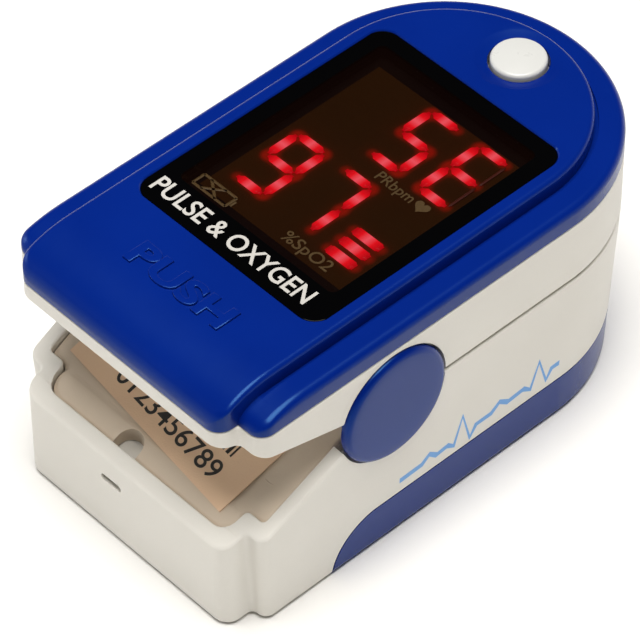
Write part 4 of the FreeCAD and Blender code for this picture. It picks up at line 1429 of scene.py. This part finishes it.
def cell_spring(name, toward):
    """Tapering coil that fills the length of its CAD piece."""
    box_low, box_high = low(name), high(name)
    x, z = (box_low.x + box_high.x) / 2, cell_axis_z
    y0, y1 = (box_low.y, box_high.y) if toward > 0 else (box_high.y, box_low.y)
    points = []
    for i in range(121):
        share = i / 120
        turn = 2 * math.pi * cell_turns * share
        r = 2.2 - 0.6 * share
        y = y0 + toward * 0.25 + (y1 - y0 - toward * 0.5) * share
        points.append((x + r * math.cos(turn), y, z + r * math.sin(turn)))
    piece = apply_tree(path_mesh(name + "_wire", points), wire, Radius=0.25 * MM, Points=240,
                       Material=nickel)
    own(clean(piece, 60, merge=0.0005), nickel, "lower_jaw", slot_of_node[name], name)


cell_spring("front_contact_spring", 1)
cell_spring("rear_contact_spring", -1)

# %% [markdown]
# The flat cable has to bend when the jaws turn. It is cut into short lengths
# along its height.

# %% Flat cable
near, far_corner = low("flex_ribbon"), high("flex_ribbon")
corners = [(near.x, near.y), (far_corner.x, near.y), (far_corner.x, far_corner.y), (near.x, far_corner.y)]
lengths = 40
rings = []
for i in range(lengths + 1):
    rings.append(at_height(corners, near.z + (far_corner.z - near.z) * i / lengths))
ribbon = clean(ring_stack("flat_cable", rings))
ribbon.data.materials.append(film)
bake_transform(ribbon)
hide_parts("flex_ribbon")
print(ribbon.name, "faces", len(ribbon.data.polygons))

# %% [markdown]
# ## Everything else
# The pieces inside keep their CAD shape, with a finish for each material.

# %% Finishes on the CAD pieces
for part_name in ("battery_left", "battery_right", "hinge_pin"):
    carry(part_name)
for part_name, piece in frame["nodes"].items():
    made = by_slot[slot_of_node[part_name]]
    if piece.material_slots:
        for holder in piece.material_slots:
            holder.link = "OBJECT"
            holder.material = made
    else:
        piece.data.materials.append(made)

# %% [markdown]
# ## Floor and light
# A pale sheet under a large soft light, with a weak fill all round.

# %% Floor and light
floor_finish = finish("pale sheet", (0.80, 0.79, 0.77), (0.83, 0.82, 0.80), rough=(0.6, 0.75),
                      tone_scale=4.0, grain=900.0, bump=0.02)
floor_z, floor_half = -0.03, 2000
corners = [(x * floor_half, y * floor_half, floor_z) for x, y in ((-1, -1), (1, -1), (1, 1), (-1, 1))]
floor = new_piece("floor", corners, [(0, 1, 2, 3)])
floor.data.materials.append(floor_finish)
floor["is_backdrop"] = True
print("floor at", floor_z)


def area_light(name, place, size, power, colour):
    """Round soft light, aimed at the middle of the object."""
    data = bpy.data.lights.new(name, "AREA")
    data.shape = "DISK"
    data.size = size
    data.energy = power
    data.color = colour
    aim = (Vector((0, 0, 0.015)) - Vector(place)).to_track_quat("-Z", "Y")
    set_down(name, data).matrix_world = Matrix.LocRotScale(Vector(place), aim, None)


area_light("key", place=(0.05, -0.03, 0.9), size=0.72, power=14.0, colour=(1.0, 0.985, 0.96))
area_light("side", place=(-0.75, -0.5, 0.35), size=0.3, power=1.2, colour=(0.96, 0.98, 1.0))

# %% [markdown]
# The room is bright near the horizon and dark overhead, so upright faces
# catch a pale reflection and flat ones stay deep in colour.

# %% Room
world = bpy.data.worlds.new("soft room")
bpy.context.scene.world = world
world.use_nodes = True
tree_world = world.node_tree
direction = tree_world.nodes.new("ShaderNodeTexCoord")
parts = tree_world.nodes.new("ShaderNodeSeparateXYZ")
height = tree_world.nodes.new("ShaderNodeValToRGB")
height.color_ramp.elements[0].position = 0.12
height.color_ramp.elements[0].color = (0.80, 0.79, 0.77, 1)
height.color_ramp.elements[1].position = 0.34
height.color_ramp.elements[1].color = (0.012, 0.012, 0.012, 1)
tree_world.links.new(direction.outputs["Generated"], parts.inputs["Vector"])
tree_world.links.new(parts.outputs["Z"], height.inputs["Fac"])
tree_world.links.new(height.outputs["Color"], tree_world.nodes["Background"].inputs["Color"])
tree_world.nodes["Background"].inputs["Strength"].default_value = 1.0
bpy.context.scene.view_settings.view_transform = "Standard"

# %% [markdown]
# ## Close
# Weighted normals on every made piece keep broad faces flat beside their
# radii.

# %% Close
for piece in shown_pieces():
    if piece.name in frame["nodes"] or piece.type != "MESH":
        continue
    piece.modifiers.new("flat faces stay flat", "WEIGHTED_NORMAL").keep_sharp = True
